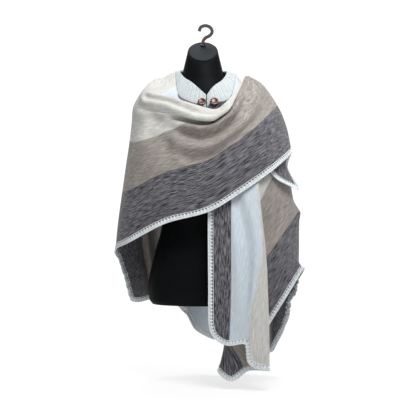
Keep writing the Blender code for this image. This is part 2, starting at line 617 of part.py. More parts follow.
def button(name, rings, t, across, sunk):
    """A turned button lying on the collar at this place, sunk where the band is thinner than in its middle."""
    lower, upper, normal = rings
    index = int(round((t + 1) * COLLAR_RIBS))
    up = normal[index]
    seat = COLLAR_WALL / 2 * COLLAR_BULGE + RIB_RISE + GAP - sunk
    centre = lower[index] + (upper[index] - lower[index]) * across + up * seat
    side = unit(np.cross(up, upper[index] - lower[index]))
    fore = np.cross(up, side)
    turn = np.linspace(0, 2 * math.pi, BUTTON_SIDES, endpoint=False)
    circle = BUTTON_RADIUS * (np.cos(turn)[:, None] * side + np.sin(turn)[:, None] * fore)
    rings = [centre + circle * wide + up * BUTTON_HEIGHT * high for wide, high in BUTTON_PROFILE]
    return loft(name, rings, "horn")


def main():
    """Make the form, then lay the left width, its border and the collar, and the right width over them."""
    for old in list(bpy.data.objects):
        bpy.data.objects.remove(old)
    form = torso()
    neck_plate()
    hook()
    body = solid_tree(form)
    right_cloth = Cloth(RIGHT_LINES, RIGHT_STATIONS, (("side", "back"),))
    left_cloth = Cloth(LEFT_LINES, LEFT_STATIONS, (("opening", "front"), ("side", "front")))
    right_u, right_v = right_cloth.samples()
    left_u, left_v = left_cloth.samples()
    left = left_cloth.place(left_u, left_v)
    left = lay_over(left, left_v > SKIRT, [body], OVER_FORM)
    right = right_cloth.place(right_u, right_v)
    right = lay_over(right, right_v >= 0, [body], OVER_FORM)
    left = close_seam(left, right, left_u)
    neck_right = right[(right_v[:, 0] >= RIGHT_NECK[0]) & (right_v[:, 0] <= RIGHT_NECK[1]), 0]
    neck_left = left[(left_v[:, 0] >= LEFT_NECK[0]) & (left_v[:, 0] <= LEFT_NECK[1]), 0]
    rings = collar_rings(neck_right, neck_left)
    band = collar_solid(rings)
    button("button_right", rings, *BUTTON_RIGHT)
    button("button_left", rings, *BUTTON_LEFT)
    cloth_sheet("left_width", left)
    strip = edging_strip(left, border_path(left_u, left_v, LEFT_NECK[0]), [body])
    left_border = edging("edging_left", strip)
    under = [tree_of(left[left_v[:, 0] > SKIRT]), solid_tree(band), solid_tree(left_border)]
    front = right_v < CROSSED
    turned = right_v < ARM_FOLD
    right = lay_over(right, front & (turned | (right_u <= ROLL)), under, OVER_CLOTH)
    path = border_path(right_u, right_v, EDGING_START)
    hem = [int(np.argmin(np.abs(right_u[0] - place))) for place in HEM_BREAK]
    end_path = path[: path.index((0, hem[0])) + 1]
    outer_path = path[path.index((0, hem[1])) :]
    end_strip = edging_strip(right, end_path, under[:1])
    turned_rows = right_v[:, 0] < ARM_FOLD - FOLD_REACH
    inner = [tree_of(right[turned_rows]), tree_of(right[:, right_u[0] <= TUCK])]
    inner.append(tree_of(end_strip))
    outer = front & ~turned & (right_u > ROLL)
    right = lay_over(right, outer, under + inner, OVER_CLOTH)
    cloth_sheet("right_width", right)
    edging("edging_end", end_strip)
    edging("edging_right", edging_strip(right, outer_path, [body, under[0]]))


if __name__ == "__main__":
    main()
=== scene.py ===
"""Andean poncho, its right front thrown over the left shoulder, on a hanging dress form.

The cloth is two loom widths seamed at the centre back, edged with crochet and collared with a knitted
band that two buttons close. Lengths are metres, except where a table or a field says cm.
"""

from __future__ import annotations

import logging
import math
from collections.abc import Sequence
from dataclasses import dataclass, field
from enum import Enum

import bmesh
import bpy
import numpy as np
from mathutils import Matrix, Vector, noise
from mathutils.bvhtree import BVHTree


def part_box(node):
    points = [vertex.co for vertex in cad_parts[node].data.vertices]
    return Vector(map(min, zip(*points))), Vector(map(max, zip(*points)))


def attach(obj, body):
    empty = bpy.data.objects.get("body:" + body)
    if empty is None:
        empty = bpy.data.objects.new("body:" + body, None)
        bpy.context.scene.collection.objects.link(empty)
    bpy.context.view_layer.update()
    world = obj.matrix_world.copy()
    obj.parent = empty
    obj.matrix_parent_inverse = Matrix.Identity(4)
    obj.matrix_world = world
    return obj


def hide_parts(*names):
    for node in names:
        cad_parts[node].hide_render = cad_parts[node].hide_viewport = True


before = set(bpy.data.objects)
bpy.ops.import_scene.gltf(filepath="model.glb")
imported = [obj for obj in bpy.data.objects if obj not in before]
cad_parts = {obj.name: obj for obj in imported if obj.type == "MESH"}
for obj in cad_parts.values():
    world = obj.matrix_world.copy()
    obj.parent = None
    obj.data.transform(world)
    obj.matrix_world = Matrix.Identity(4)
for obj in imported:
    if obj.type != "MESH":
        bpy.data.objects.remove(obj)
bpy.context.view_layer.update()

log = logging.getLogger("poncho")

CM = 0.01
BODY = "root"
TINY = 1e-9  # shortest length that a direction is taken from
CLOSE = 1e-6  # places nearer than this are one
SHARP = math.radians(50)  # edges that turn further stay sharp

# Cloth that shows on each width: distance in cm from the opening edge of each named line.
RIGHT_LINES = {
    "opening": 0.0,
    "dark_line": 5.6,
    "tuck": 12.0,
    "roll_top": 20.0,
    "roll_low": 27.5,
    "under_roll": 31.0,
    "cream_line": 34.0,
    "taupe_mid": 41.0,
    "taupe_line": 48.5,
    "dark_mid": 56.5,
    "side": 64.5,
}
# Each station: distance in cm from the front hem, then x, y, z of every line above.
RIGHT_STATIONS = {
    "front hem": (
        0, (16, 3.2, -21.2), (15, 3.2, -20.3), (13.4, 3.2, -19.2), (12.1, 3.2, -17), (12.8, 3.4, -16.2),
        (13.4, 3.4, -16.3), (14, 3.4, -16.6), (18.6, 3.2, -20), (21.8, 1, -28.4), (20, -10, -44.3),
        (28.2, -2.9, -50),
    ),
    "under arm": (
        9, (16.3, 1.4, -21), (15.2, 1.4, -20.1), (13.6, 1.4, -19), (12.1, 1.4, -16.7), (12.8, 1.6, -15.9),
        (13.4, 1.6, -16), (14, 1.6, -16.2), (18.2, 1.3, -19), (21.9, 0.9, -26.2), (22.6, -3.8, -36.5),
        (25.3, -0.8, -43.5),
    ),
    "arm fold": (
        16.8, (16.5, 0.3, -21), (15.2, 0.3, -20), (13.6, 0.3, -18.8), (12.1, 0.3, -16.6), (12.6, 0.3, -15.8),
        (13.2, 0.3, -15.8), (13.8, 0.3, -16), (17.9, 0.4, -18.8), (22.1, 0.4, -25.3), (24.2, 0.4, -31.9),
        (25.7, 0.5, -39.1),
    ),
    "left arm": (
        19.2, (16.5, -0.3, -21), (15.2, -0.3, -20), (13.6, -0.3, -18.8), (12.1, -0.3, -16.6),
        (12.5, -0.3, -15.7), (13, -0.3, -15.7), (13.6, -0.3, -15.8), (17.9, -0.2, -18.5), (22.3, -0.4, -24.6),
        (25, -0.6, -30.8), (26.6, -0.8, -38.2),
    ),
    "left shoulder": (
        28.5, (12.6, -7.6, -23.4), (11.9, -7.6, -22.8), (10.9, -7.7, -22.1), (9.8, -8.1, -20.3),
        (10.7, -9.1, -21), (11.5, -8.4, -21.4), (12.4, -8.6, -21.7), (15.4, -8.6, -24.5), (18.8, -8.6, -28.6),
        (21.4, -8.6, -34.4), (23.2, -8.6, -41.4),
    ),
    "left chest": (
        38, (6.8, -13, -29.7), (7, -13.4, -28.9), (7.2, -13.8, -27.8), (6.6, -14.9, -24.9),
        (7.8, -16.4, -26.9), (8.6, -15, -27.5), (9.4, -15.2, -28.1), (11.2, -15.6, -31.1),
        (13.6, -15.4, -33.6), (15.6, -15.4, -39.3), (17.4, -15.2, -45.8),
    ),
    "roll": (
        44, (2.8, -13.5, -28.6), (3.2, -13.9, -29), (3.6, -14.5, -29.1), (3.8, -15.7, -27.2),
        (4.6, -17.5, -29.2), (5.2, -15.7, -29.8), (5.4, -15.9, -30.6), (6.3, -16.5, -34.4),
        (7.6, -16.3, -38.1), (8.6, -16.7, -44.5), (9.7, -16.7, -51.1),
    ),
    "centre": (
        50, (0.1, -13.8, -26.7), (0, -14, -28), (0.3, -14, -29.3), (0.6, -15.4, -27), (0.9, -17.5, -30.4),
        (0.9, -15.3, -31), (0.6, -15.6, -32.1), (0.6, -16.6, -37), (0.9, -16.3, -42.3), (0.9, -17, -49.4),
        (1, -17, -56.3),
    ),
    "right chest": (
        63, (-6.1, -11.5, -24.1), (-6.8, -12.2, -24.8), (-7.1, -12.6, -26.7), (-8, -13.8, -24.3),
        (-9.7, -16, -28.8), (-10, -14.3, -30.1), (-10.3, -14.8, -32.7), (-10.9, -15.8, -39.1),
        (-11.4, -15.8, -45.8), (-11.7, -16.2, -53.2), (-12, -15.5, -59.9),
    ),
    "right front": (
        75, (-8.2, -8.5, -21.6), (-9.2, -9.3, -21.5), (-12, -9.8, -21.7), (-17.5, -9, -21.5),
        (-19.1, -11, -27.1), (-19.7, -9.5, -30.3), (-20.4, -10, -35.9), (-21.1, -10.8, -42.9),
        (-21.8, -11, -50.6), (-22.6, -10.5, -58.2), (-23.1, -10, -65.7),
    ),
    "right arm": (
        85, (-9.2, -1.8, -14.8), (-10.7, -0.8, -14.9), (-13, 0, -16), (-16.5, 0, -17.2), (-22, 0, -24.1),
        (-22.8, 0, -31), (-23.3, 0, -36.2), (-24.4, 0, -43.4), (-25.5, 0, -51.6), (-26.7, 0, -59.5),
        (-27.6, 0, -68.2),
    ),
    "right back": (
        94, (-8.7, 6.5, -15.9), (-10.3, 7.2, -16.4), (-12.9, 7.6, -17.8), (-16.8, 7.6, -20.5),
        (-20.8, 7, -27), (-21.6, 6.8, -32.5), (-22.2, 6.6, -37.5), (-23.2, 6.2, -45), (-24.2, 5.5, -53.5),
        (-25.3, 4.5, -61.5), (-26.6, 2.2, -71.5),
    ),
    "nape": (
        104, (0.4, 10.4, -19), (-3.5, 10.9, -20), (-8, 11, -22), (-13.5, 10.9, -26), (-18, 10.4, -33),
        (-19, 10.1, -37), (-19.8, 9.8, -41.5), (-21.2, 9, -49), (-22.4, 8, -57.5), (-23.8, 6.6, -65),
        (-25.9, 3.4, -74),
    ),
    "back": (
        120, (2.7, 12.8, -41), (-1.8, 12.9, -42), (-6.5, 13.8, -43.5), (-11.5, 12.7, -46.5),
        (-15.8, 12.8, -51.5), (-17, 12.7, -54.5), (-17.8, 12.1, -57.5), (-19.3, 10.5, -62.5),
        (-20.3, 10.7, -67.5), (-22.2, 8, -72.5), (-24.9, 4.8, -77.2),
    ),
    "low back": (
        145, (5.9, 14.4, -71), (1.4, 14.2, -72), (-3, 15.9, -72.8), (-8, 13.9, -74), (-12.3, 14.8, -75.8),
        (-14, 15, -76.6), (-15, 14.4, -77.2), (-16.8, 12.2, -78.3), (-18.2, 13.1, -79.2), (-20.8, 9.7, -80.6),
        (-23.9, 6.6, -81.6),
    ),
    "back hem": (
        170, (8.1, 15.8, -98.2), (2.8, 15, -98), (-2.6, 17.1, -95.4), (-6.2, 14, -89.5), (-9.2, 15.1, -86.6),
        (-11, 15.6, -85.6), (-12.4, 15, -85.2), (-15, 12.2, -84.8), (-17.2, 13.8, -84.8), (-20.2, 10, -85.2),
        (-23, 8.2, -85.6),
    ),
}

LEFT_LINES = {
    "opening": 0.0,
    "dark_line": 5.6,
    "white_line": 16.0,
    "cream_in": 17.5,
    "fold_a": 22.0,
    "cream_line": 34.0,
    "taupe_line": 48.5,
    "dark_dip": 51.5,
    "fold_b": 55.0,
    "side": 64.5,
}
LEFT_STATIONS = {
    "front hem": (
        0, (2.1, -15, -95.9), (7.1, -15.5, -95.8), (12.7, -16.5, -95.7), (13.6, -16.8, -101.3),
        (18.8, -16.5, -102.9), (15.2, -13, -103.5), (11.9, -12.8, -104), (7.7, -12.6, -106.8),
        (4.4, -10.4, -103.9), (11.8, -7.2, -102),
    ),
    "above hem": (
        8, (2.1, -15, -87.9), (7.5, -15.5, -88.5), (13.2, -16.7, -88.3), (14.1, -17, -92.1),
        (18.8, -16.8, -93.6), (13.1, -13.6, -94.7), (6.3, -12.5, -92.1), (6.2, -11.1, -91.6),
        (8.4, -9.5, -91.5), (17.4, -7.6, -92.9),
    ),
    "low front": (
        18, (2.1, -15.2, -78.5), (7.7, -15.7, -78.8), (15, -17, -79.2), (16, -17.2, -80),
        (18.3, -16.6, -81.6), (10.4, -13.2, -84.6), (11.4, -10.6, -81.6), (13.8, -10.2, -81.8),
        (16.5, -9.8, -81.9), (24.3, -6, -82.2),
    ),
    "front": (
        30, (2, -15.2, -66.7), (7.7, -15.5, -67), (16.7, -16.8, -67.5), (17.3, -16.6, -68.1),
        (17.5, -15.6, -69.3), (11.3, -12, -68.3), (20.2, -9, -68.7), (22, -8, -70), (24, -6.5, -71.2),
        (29.6, -0.5, -74.7),
    ),
    "waist": (
        45, (2, -14.2, -53.1), (7.7, -14.3, -51.7), (15.2, -15.6, -50.8), (15.8, -15.3, -50.8),
        (16, -14.2, -50.8), (17.6, -12.6, -51.7), (28.7, -0.5, -57.6), (28.9, 0.5, -60.9), (29, 1.2, -65),
        (29.3, 2.4, -77),
    ),
    "chest": (
        58, (1.8, -13.2, -39.5), (7.3, -13, -38.5), (13.7, -12.4, -38), (14.8, -12, -38), (18, -9.8, -38.8),
        (24.3, -0.6, -41.5), (28.4, 2.2, -59), (28.6, 2.8, -62.3), (28.7, 3.4, -66.3), (29, 3.7, -78.4),
    ),
    "collar end": (
        70, (0.7, -12.9, -26.6), (7.2, -12, -28.8), (13.2, -11, -30.5), (14.2, -10.6, -30.8),
        (18.4, -7.8, -31.7), (23.8, 2, -41.8), (27.4, 4.8, -65), (27.6, 5.3, -68), (27.8, 5.4, -71.5),
        (28.7, 4.6, -79.8),
    ),
    "left front": (
        77, (7.2, -11, -23.9), (10.7, -9.8, -24.5), (17.2, -6, -25.8), (18.2, -5.3, -26.3), (21, -2.2, -29.4),
        (23.8, 3.4, -42.5), (27.1, 6, -68), (27.3, 6.3, -71), (27.5, 6.4, -74.2), (28.5, 5.2, -80.8),
    ),
    "shoulder": (
        85, (9.7, -0.8, -15.6), (11.8, -0.6, -18.2), (19, 0, -25), (19.8, 0.3, -26), (21.8, 1.5, -29.5),
        (24.3, 5, -43.8), (26.8, 7.2, -71), (27, 7.3, -74), (27.1, 7.3, -77), (28.3, 5.7, -81.8),
    ),
    "left back": (
        94, (9, 6.8, -16.8), (11.9, 7.5, -18.8), (18.2, 7.8, -25), (19, 7.8, -26.2), (21, 7.9, -31),
        (23.8, 8.3, -48), (26.3, 8.6, -75), (26.5, 8.6, -77.5), (26.6, 8.4, -79.8), (28.1, 6.3, -83),
    ),
    "nape": (
        104, (0.5, 10.4, -19), (6, 10.8, -21), (14.5, 10.8, -30), (15.5, 10.8, -32), (18.3, 10.8, -38),
        (22.9, 10.2, -55), (25.6, 9.8, -80), (25.9, 9.7, -81.8), (26.1, 9.5, -82.8), (27.3, 7.1, -84.2),
    ),
    "back": (
        120, (2.8, 12.8, -41), (7.5, 13.4, -43), (15, 12.3, -50), (16, 12.2, -52), (18.6, 12.5, -58),
        (22.2, 10.9, -71), (25, 10.9, -86), (25.3, 10.7, -86.9), (25.3, 10, -86.6), (26.5, 8.3, -86.0),
    ),
    "low back": (
        145, (6, 14.4, -71), (10, 15.3, -73), (15.6, 13.2, -78), (16.6, 13.1, -79.5), (18.8, 14, -83),
        (20.6, 11.8, -87), (22.4, 12.3, -89.3), (23.1, 11.8, -89.8), (24.4, 10.5, -89.9), (26.3, 8.6, -88.1),
    ),
    "back hem": (
        170, (8.2, 15.8, -98.2), (12.4, 16.4, -99.2), (16.6, 13.5, -102.4), (17.4, 13.4, -102.8),
        (18.4, 14.7, -103.3), (19.7, 12.4, -103), (21.3, 13.1, -101.8), (22.2, 12.7, -100), (24, 11.1, -96),
        (25.9, 9.6, -91),
    ),
}

# The collar's upper edge: place along the collar (-1 right end, 0 nape, 1 left end), then x, y, z in cm.
COLLAR_TOP = (
    (-1.00, (0.2, -11.6, -22.6)),
    (-0.90, (-1.7, -10.3, -20.7)),
    (-0.80, (-4.0, -8.3, -18.5)),
    (-0.60, (-6.29, -4.61, -16.59)),
    (-0.40, (-7.6, -0.6, -14.3)),
    (-0.20, (-5.7, 5.6, -13.2)),
    (0.00, (-0.4, 7.6, -12.6)),
    (0.25, (4.8, 5.6, -13.2)),
    (0.50, (6.6, -0.8, -14.4)),
    (0.75, (5.2, -6.6, -17.6)),
    (0.90, (2.5, -9.9, -20.0)),
    (1.00, (0.6, -11.6, -22.6)),
)
# The form, from the neck down: height, half width and half depth, in cm.
FORM_RINGS = (
    (-15.2, 6.5, 6.0),
    (-17.1, 8.1, 6.3),
    (-18.9, 10.7, 6.9),
    (-21.3, 13.9, 7.5),
    (-24.6, 16.4, 8.2),
    (-28.0, 17.6, 9.3),
    (-33.0, 17.2, 10.6),
    (-40.0, 15.8, 11.2),
    (-50.0, 13.8, 9.8),
    (-61.0, 12.6, 9.0),
    (-70.0, 14.8, 10.0),
    (-79.0, 16.8, 10.6),
    (-84.5, 16.6, 10.4),
    (-86.0, 15.6, 9.6),
)
FORM_SIDE = -0.7  # x of the form's middle, in cm
NECK_TOP = (-8.0, 4.7, 4.5)  # centre height, half width, half depth
NECK_FALL = 3.8  # how far the neck's slanted top falls from its centre to its front

# The hook's centre line, x and z in cm.
HOOK_LINE = ((-0.6, -5.2), (-0.6, -4.2), (0.2, -3.2), (1.5, -2.5), (2.2, -1.3),
             (1.6, 0.0), (0.2, 0.55), (-1.3, 0.1), (-1.9, -1.2))
HOOK_DEPTH = 2.2  # y of the hook, in cm

RIGHT_NECK = (50.0, 104.0)  # cm along the cloth: collar's end, nape
LEFT_NECK = (70.0, 104.0)
HEM_BREAK = (45.0, 56.5)  # cm across the right width: between them its front hem is bare, inside the fold
EDGING_START = 38.0  # cm along the right width: there its opening edge leaves the roll
SEAM_START = 104.0  # cm along both widths: from there they are seamed to the back hem
FOLD_REACH = 3.0  # cm on both sides of a fold where the layers meet
ARM_FOLD = 18.0  # cm along the right width: nearer its front hem it is turned under
TUCK = 12.0  # cm from the right width's opening edge: nearer the edge it lies inside the roll
ROLL = 22.0  # cm from there: farther from the edge it lies outside
CROSSED = 48.0  # cm along the right width: nearer its front hem it lies across the left one
SKIRT = 52.0  # cm along the left width: nearer its front hem it hangs free

CORNER = 6.0  # cm, radius of the cloth's free corners
CORNER_REACH = 16.0  # cm along the cloth over which a rounded corner is felt
COLUMNS = 160
ROW_STEPS = ((9.0, 15), (30.0, 48), (104.0, 122), (170.0, 72))  # cm along the cloth, rows up to there

RISE_FROM = -0.40  # height above which outwards starts to rise
REACH = 0.05  # how far a sheet may be carried
OVER_CLOTH = 0.0046  # kept between the middles of two walls
OVER_FORM = 0.0018
OVER_EDGING = 0.0046
SEAM_GAP = 0.0006
SEAM_REACH = 16.0  # cm from the seam over which the left width is drawn to it
SEAM_COLUMNS = 6  # samples from the seam over which the direction across it is read
STITCH_COLUMNS = 3  # the same for its stitches


class Slot(Enum):
    """The record's material slots."""

    WOOL = "wool"
    KNIT = "knit"
    CROCHET = "crochet"
    HORN = "horn"
    PLASTIC = "plastic"
    PLATE = "plate"
    METAL = "metal"


def unit(vectors: np.ndarray) -> np.ndarray:
    """The same directions with length 1."""
    return vectors / np.maximum(np.linalg.norm(vectors, axis=-1, keepdims=True), TINY)


def run_of(points: np.ndarray) -> np.ndarray:
    """How far along a line each of its points lies."""
    return np.concatenate([[0], np.cumsum(np.linalg.norm(np.diff(points, axis=0), axis=1))])


def read_at(places: np.ndarray, marks: np.ndarray, values: np.ndarray) -> np.ndarray:
    """Rows of values that stand at marks, read at the places between them."""
    return np.stack([np.interp(places, marks, column) for column in values.T], axis=1)


def blend_matrix(knots: np.ndarray, at: np.ndarray) -> np.ndarray:
    """Weights that read a smooth curve through values at knots.

    Args:
        knots: where the values stand, rising.
        at: the places asked for.

    Returns:
        One row of weights for each place.
    """
    knots, at = np.asarray(knots, float), np.asarray(at, float)
    count = len(knots)
    slopes = np.zeros((count, count))
    for i in range(count):
        low, high = max(i - 1, 0), min(i + 1, count - 1)
        slopes[i, high] += 1 / (knots[high] - knots[low])
        slopes[i, low] -= 1 / (knots[high] - knots[low])
    span = np.clip(np.searchsorted(knots, at, side="right") - 1, 0, count - 2)
    width = knots[span + 1] - knots[span]
    t = (at - knots[span]) / width
    rows = np.arange(len(at))
    matrix = np.zeros((len(at), count))
    matrix[rows, span] += 2 * t**3 - 3 * t**2 + 1
    matrix[rows, span + 1] += 3 * t**2 - 2 * t**3
    matrix += ((t**3 - 2 * t**2 + t) * width)[:, None] * slopes[span]
    matrix += ((t**3 - t**2) * width)[:, None] * slopes[span + 1]
    return matrix


def normals_of(grid: np.ndarray) -> np.ndarray:
    """Unit normals of a grid of points."""
    return unit(np.cross(np.gradient(grid, axis=1), np.gradient(grid, axis=0)))


def away(points: np.ndarray) -> np.ndarray:
    """Directions out of the garment: level below the chest, rising over the shoulders.

    Args:
        points: places round the form.

    Returns:
        One direction of length 1 for each.
    """
    centre = np.zeros_like(points)
    centre[..., 2] = np.minimum(points[..., 2], RISE_FROM)
    return unit(points - centre)


def tree_of(grid: np.ndarray) -> BVHTree:
    """A searchable copy of a grid's surface.

    Args:
        grid: rows of points.

    Returns:
        Its tree of faces.
    """
    rows, columns = grid.shape[:2]
    index = np.arange(rows * columns).reshape(rows, columns)
    corners = (index[:-1, :-1], index[:-1, 1:], index[1:, 1:], index[1:, :-1])
    faces = np.stack([corner.ravel() for corner in corners], axis=1).tolist()
    return BVHTree.FromPolygons(grid.reshape(-1, 3).tolist(), faces)


def mesh_tree(piece: bpy.types.Object) -> BVHTree:
    """A searchable copy of a piece's surface."""
    corners = [vert.co for vert in piece.data.vertices]
    return BVHTree.FromPolygons(corners, [face.vertices for face in piece.data.polygons])


def spread(values: np.ndarray, most: bool) -> np.ndarray:
    """Share each value with its neighbours along every axis.

    Args:
        values: numbers in a grid or a line.
        most: whether each takes the most of them, or else their soft mean.

    Returns:
        The numbers so shared.
    """
    for axis in range(values.ndim):
        values = np.moveaxis(values, axis, 0)
        before = np.concatenate([values[:1], values[:-1]])
        after = np.concatenate([values[1:], values[-1:]])
        if most:
            values = np.maximum(values, np.maximum(before, after))
        else:
            values = (before + 2 * values + after) / 4
        values = np.moveaxis(values, 0, axis)
    return values


def lay_over(
    points: np.ndarray, chosen: np.ndarray, under: list[BVHTree], clearance: float, soften: int = 3
) -> np.ndarray:
    """Carry chosen points outwards, where needed, to clear the surfaces under them.

    Args:
        points: a grid, or a line, of points.
        chosen: which of them may move.
        under: the surfaces to clear.
        clearance: the distance to keep.
        soften: how many samples round each one share its move.

    Returns:
        The points in their new places.
    """
    direction = away(points)
    push = np.zeros(points.shape[:-1])
    for place in zip(*np.nonzero(chosen)):
        start = Vector(points[place] + direction[place] * REACH)
        inwards = Vector(-direction[place])
        for tree in under:
            hit, _, _, distance = tree.ray_cast(start, inwards, REACH + clearance)
            if hit is not None:
                push[place] = max(push[place], REACH + clearance - distance)
    for _ in range(soften):
        push = spread(push, most=True)
    for _ in range(2 * soften):
        push = spread(push, most=False)
    return points + direction * (push * chosen)[..., None]


@dataclass(frozen=True)
class Crease:
    """A soft trough or ridge laid along a line on the cloth.

    line holds places across and along the cloth in cm, height is in metres and below zero for a
    trough, and half_width is in cm. On both flanks the cloth swings a little the other way.
    """

    line: tuple[tuple[float, float], ...]
    height: float
    half_width: float
    fading: float = 0.22  # share of its length over which each end dies away
    flank_place: float = 1.7  # in half widths from its line
    flank_width: float = 0.8  # in half widths
    flank_share: float = 0.28  # of its height

    def lift(self, u: np.ndarray, v: np.ndarray) -> np.ndarray:
        """How far the crease moves the cloth outwards.

        Args:
            u: cm across the cloth.
            v: cm along the cloth.

        Returns:
            Metres, for each place.
        """
        nearest = np.full(u.shape, np.inf)
        place = np.zeros(u.shape)
        spans = len(self.line) - 1
        for index, (start, end) in enumerate(zip(self.line[:-1], self.line[1:])):
            du, dv = end[0] - start[0], end[1] - start[1]
            t = np.clip(((u - start[0]) * du + (v - start[1]) * dv) / (du * du + dv * dv), 0, 1)
            gap = np.hypot(u - start[0] - t * du, v - start[1] - t * dv)
            place = np.where(gap < nearest, (index + t) / spans, place)
            nearest = np.minimum(nearest, gap)
        fade = np.clip(np.minimum(place, 1 - place) / self.fading, 0, 1)
        fade = fade * fade * (3 - 2 * fade)
        middle = np.exp(-((nearest / self.half_width) ** 2))
        from_flank = (nearest - self.flank_place * self.half_width) / (self.flank_width * self.half_width)
        return self.height * (middle - self.flank_share * np.exp(-(from_flank**2))) * fade


def creases(*rows: tuple) -> tuple[Crease, ...]:
    """Creases from rows of height in m, half width in cm, and places across and along the cloth in cm."""
    return tuple(Crease(tuple(places), height, half_width) for height, half_width, *places in rows)


@dataclass(frozen=True)
class Slip:
    """Cloth that lies off its lines along one place across it: tucked in, or drawn aside.

    centre and reach are in cm across the cloth; amounts holds places along the cloth and how much
    cloth is taken up there, in cm.
    """

    centre: float
    reach: float
    amounts: tuple[tuple[float, float], ...]

    def shift(self, u: np.ndarray, v: np.ndarray) -> np.ndarray:
        """How many cm each place's stripes are moved across the cloth."""
        near = np.clip(1 - np.abs(u - self.centre) / self.reach, 0, 1)
        return np.interp(v, *zip(*self.amounts)) * near


@dataclass
class LoomWidth:
    """One loom width: a smooth surface through the places of its lines at its stations."""

    lines: dict[str, float]
    stations: dict[str, tuple]
    rounded: tuple[tuple[str, str], ...]
    creases: tuple[Crease, ...] = ()
    slips: tuple[Slip, ...] = ()
    facing: float = 1.0  # -1 where across and along turn the other way round, seen from outside
    seed: float = 0.0
    wobble: float = 0.0011  # unevenness of hand-woven cloth, in metres
    hem_wobble: float = 0.0016  # added towards the edges
    hem_reach: float = 3.0  # cm from the edges over which it fades
    waves: tuple[float, float] = (6.5, 8.0)  # cm across and along the cloth, of one unevenness
    across: np.ndarray = field(init=False)  # cm from the opening of every line
    along: np.ndarray = field(init=False)  # cm from the front hem of every station
    points: np.ndarray = field(init=False)
    knots: np.ndarray = field(init=False)
    rows: np.ndarray = field(init=False)
    u: np.ndarray = field(init=False)  # cm across the cloth of every sample
    v: np.ndarray = field(init=False)  # cm along it
    grid: np.ndarray = field(init=False)

    def __post_init__(self) -> None:
        """Read the table and place the samples."""
        self.across = np.array(list(self.lines.values()))
        self.along = np.array([row[0] for row in self.stations.values()], float)
        self.points = np.array([row[1:] for row in self.stations.values()], float)
        self.knots = self.spacing(axis=1)
        self.rows = self.spacing(axis=0)
        marks = [0.0]
        for end, count in ROW_STEPS:
            marks += list(np.linspace(marks[-1], end, count + 1)[1:])
        self.u, self.v = np.meshgrid(np.linspace(0, self.across[-1], COLUMNS + 1), marks)
        self.grid = self.surface()

    def spacing(self, axis: int) -> np.ndarray:
        """Knots along an axis of the table, as far apart as the roots of its mean steps."""
        steps = np.linalg.norm(np.diff(self.points, axis=axis), axis=2).mean(axis=1 - axis)
        return np.concatenate([[0], np.cumsum(np.sqrt(steps))])

    def trimmed(self) -> np.ndarray:
        """Move the samples near a rounded corner inwards.

        Returns:
            cm along the cloth of each sample.
        """
        length, width = self.along[-1], self.across[-1]
        moved = self.v.copy()
        for side, end in self.rounded:
            from_edge = self.u if side == "opening" else width - self.u
            inside = np.clip(CORNER - from_edge, 0, CORNER)
            rise = CORNER - np.sqrt(CORNER**2 - inside**2)
            from_end = self.v if end == "front" else length - self.v
            push = rise * np.clip(1 - from_end / CORNER_REACH, 0, 1)
            moved = moved + push if end == "front" else moved - push
        return moved

    def surface(self) -> np.ndarray:
        """Bend the cloth through its table, with its creases and its unevenness.

        Returns:
            The places of its middle, in metres.
        """
        v = self.trimmed()
        tu = blend_matrix(self.knots, np.interp(self.u.ravel(), self.across, self.knots))
        tv = blend_matrix(self.rows, np.interp(v.ravel(), self.along, self.rows))
        grid = np.einsum("pr,pc,rcx->px", tv, tu, self.points).reshape(*self.u.shape, 3) * CM
        lift = sum((crease.lift(self.u, v) for crease in self.creases), np.zeros(self.u.shape))
        return grid + self.facing * normals_of(grid) * (lift + self.unevenness(v))[..., None]

    def unevenness(self, v: np.ndarray) -> np.ndarray:
        """Small soft waves of the hand-woven cloth, larger at its edges.

        Args:
            v: cm along the cloth of each sample.

        Returns:
            Metres outwards, for each.
        """
        width, length = self.across[-1], self.along[-1]
        edge = np.minimum(np.minimum(self.u, width - self.u), np.minimum(v, length - v))
        size = self.wobble + self.hem_wobble * np.exp(-edge / self.hem_reach)
        places = zip(self.u.ravel() / self.waves[0], v.ravel() / self.waves[1])
        waves = [noise.noise(Vector((a, b, self.seed))) for a, b in places]
        return np.array(waves).reshape(self.u.shape) * size

    def neck(self, span: tuple[float, float]) -> np.ndarray:
        """The opening edge's points between two places in cm, where the collar is sewn on."""
        along = self.v[:, 0]
        return self.grid[(along >= span[0] - CLOSE) & (along <= span[1] + CLOSE), 0]

    def sheet(self, name: str, wall: float) -> bpy.types.Object:
        """The finished cloth.

        Args:
            name: the piece's name.
            wall: its thickness in metres.

        Returns:
            The piece, with its places across and along the cloth, in metres, as its UV map.
        """
        rows, columns = self.grid.shape[:2]
        bm = bmesh.new()
        bmesh.ops.create_grid(bm, x_segments=columns - 1, y_segments=rows - 1, size=1.0)
        for vert, point in zip(bm.verts, self.grid.reshape(-1, 3)):
            vert.co = point
        across = self.u + sum(slip.shift(self.u, self.v) for slip in self.slips)
        places = np.stack([across * CM, self.v * CM + self.seed], axis=-1).reshape(-1, 2)
        layer = bm.loops.layers.uv.new("cloth")
        bm.verts.index_update()
        for face in bm.faces:
            for loop in face.loops:
                loop[layer].uv = places[loop.vert.index]
        piece = finish_mesh(name, bm)
        solidify = piece.modifiers.new("wall", "SOLIDIFY")
        solidify.thickness = wall
        solidify.offset = 0.0
        return piece

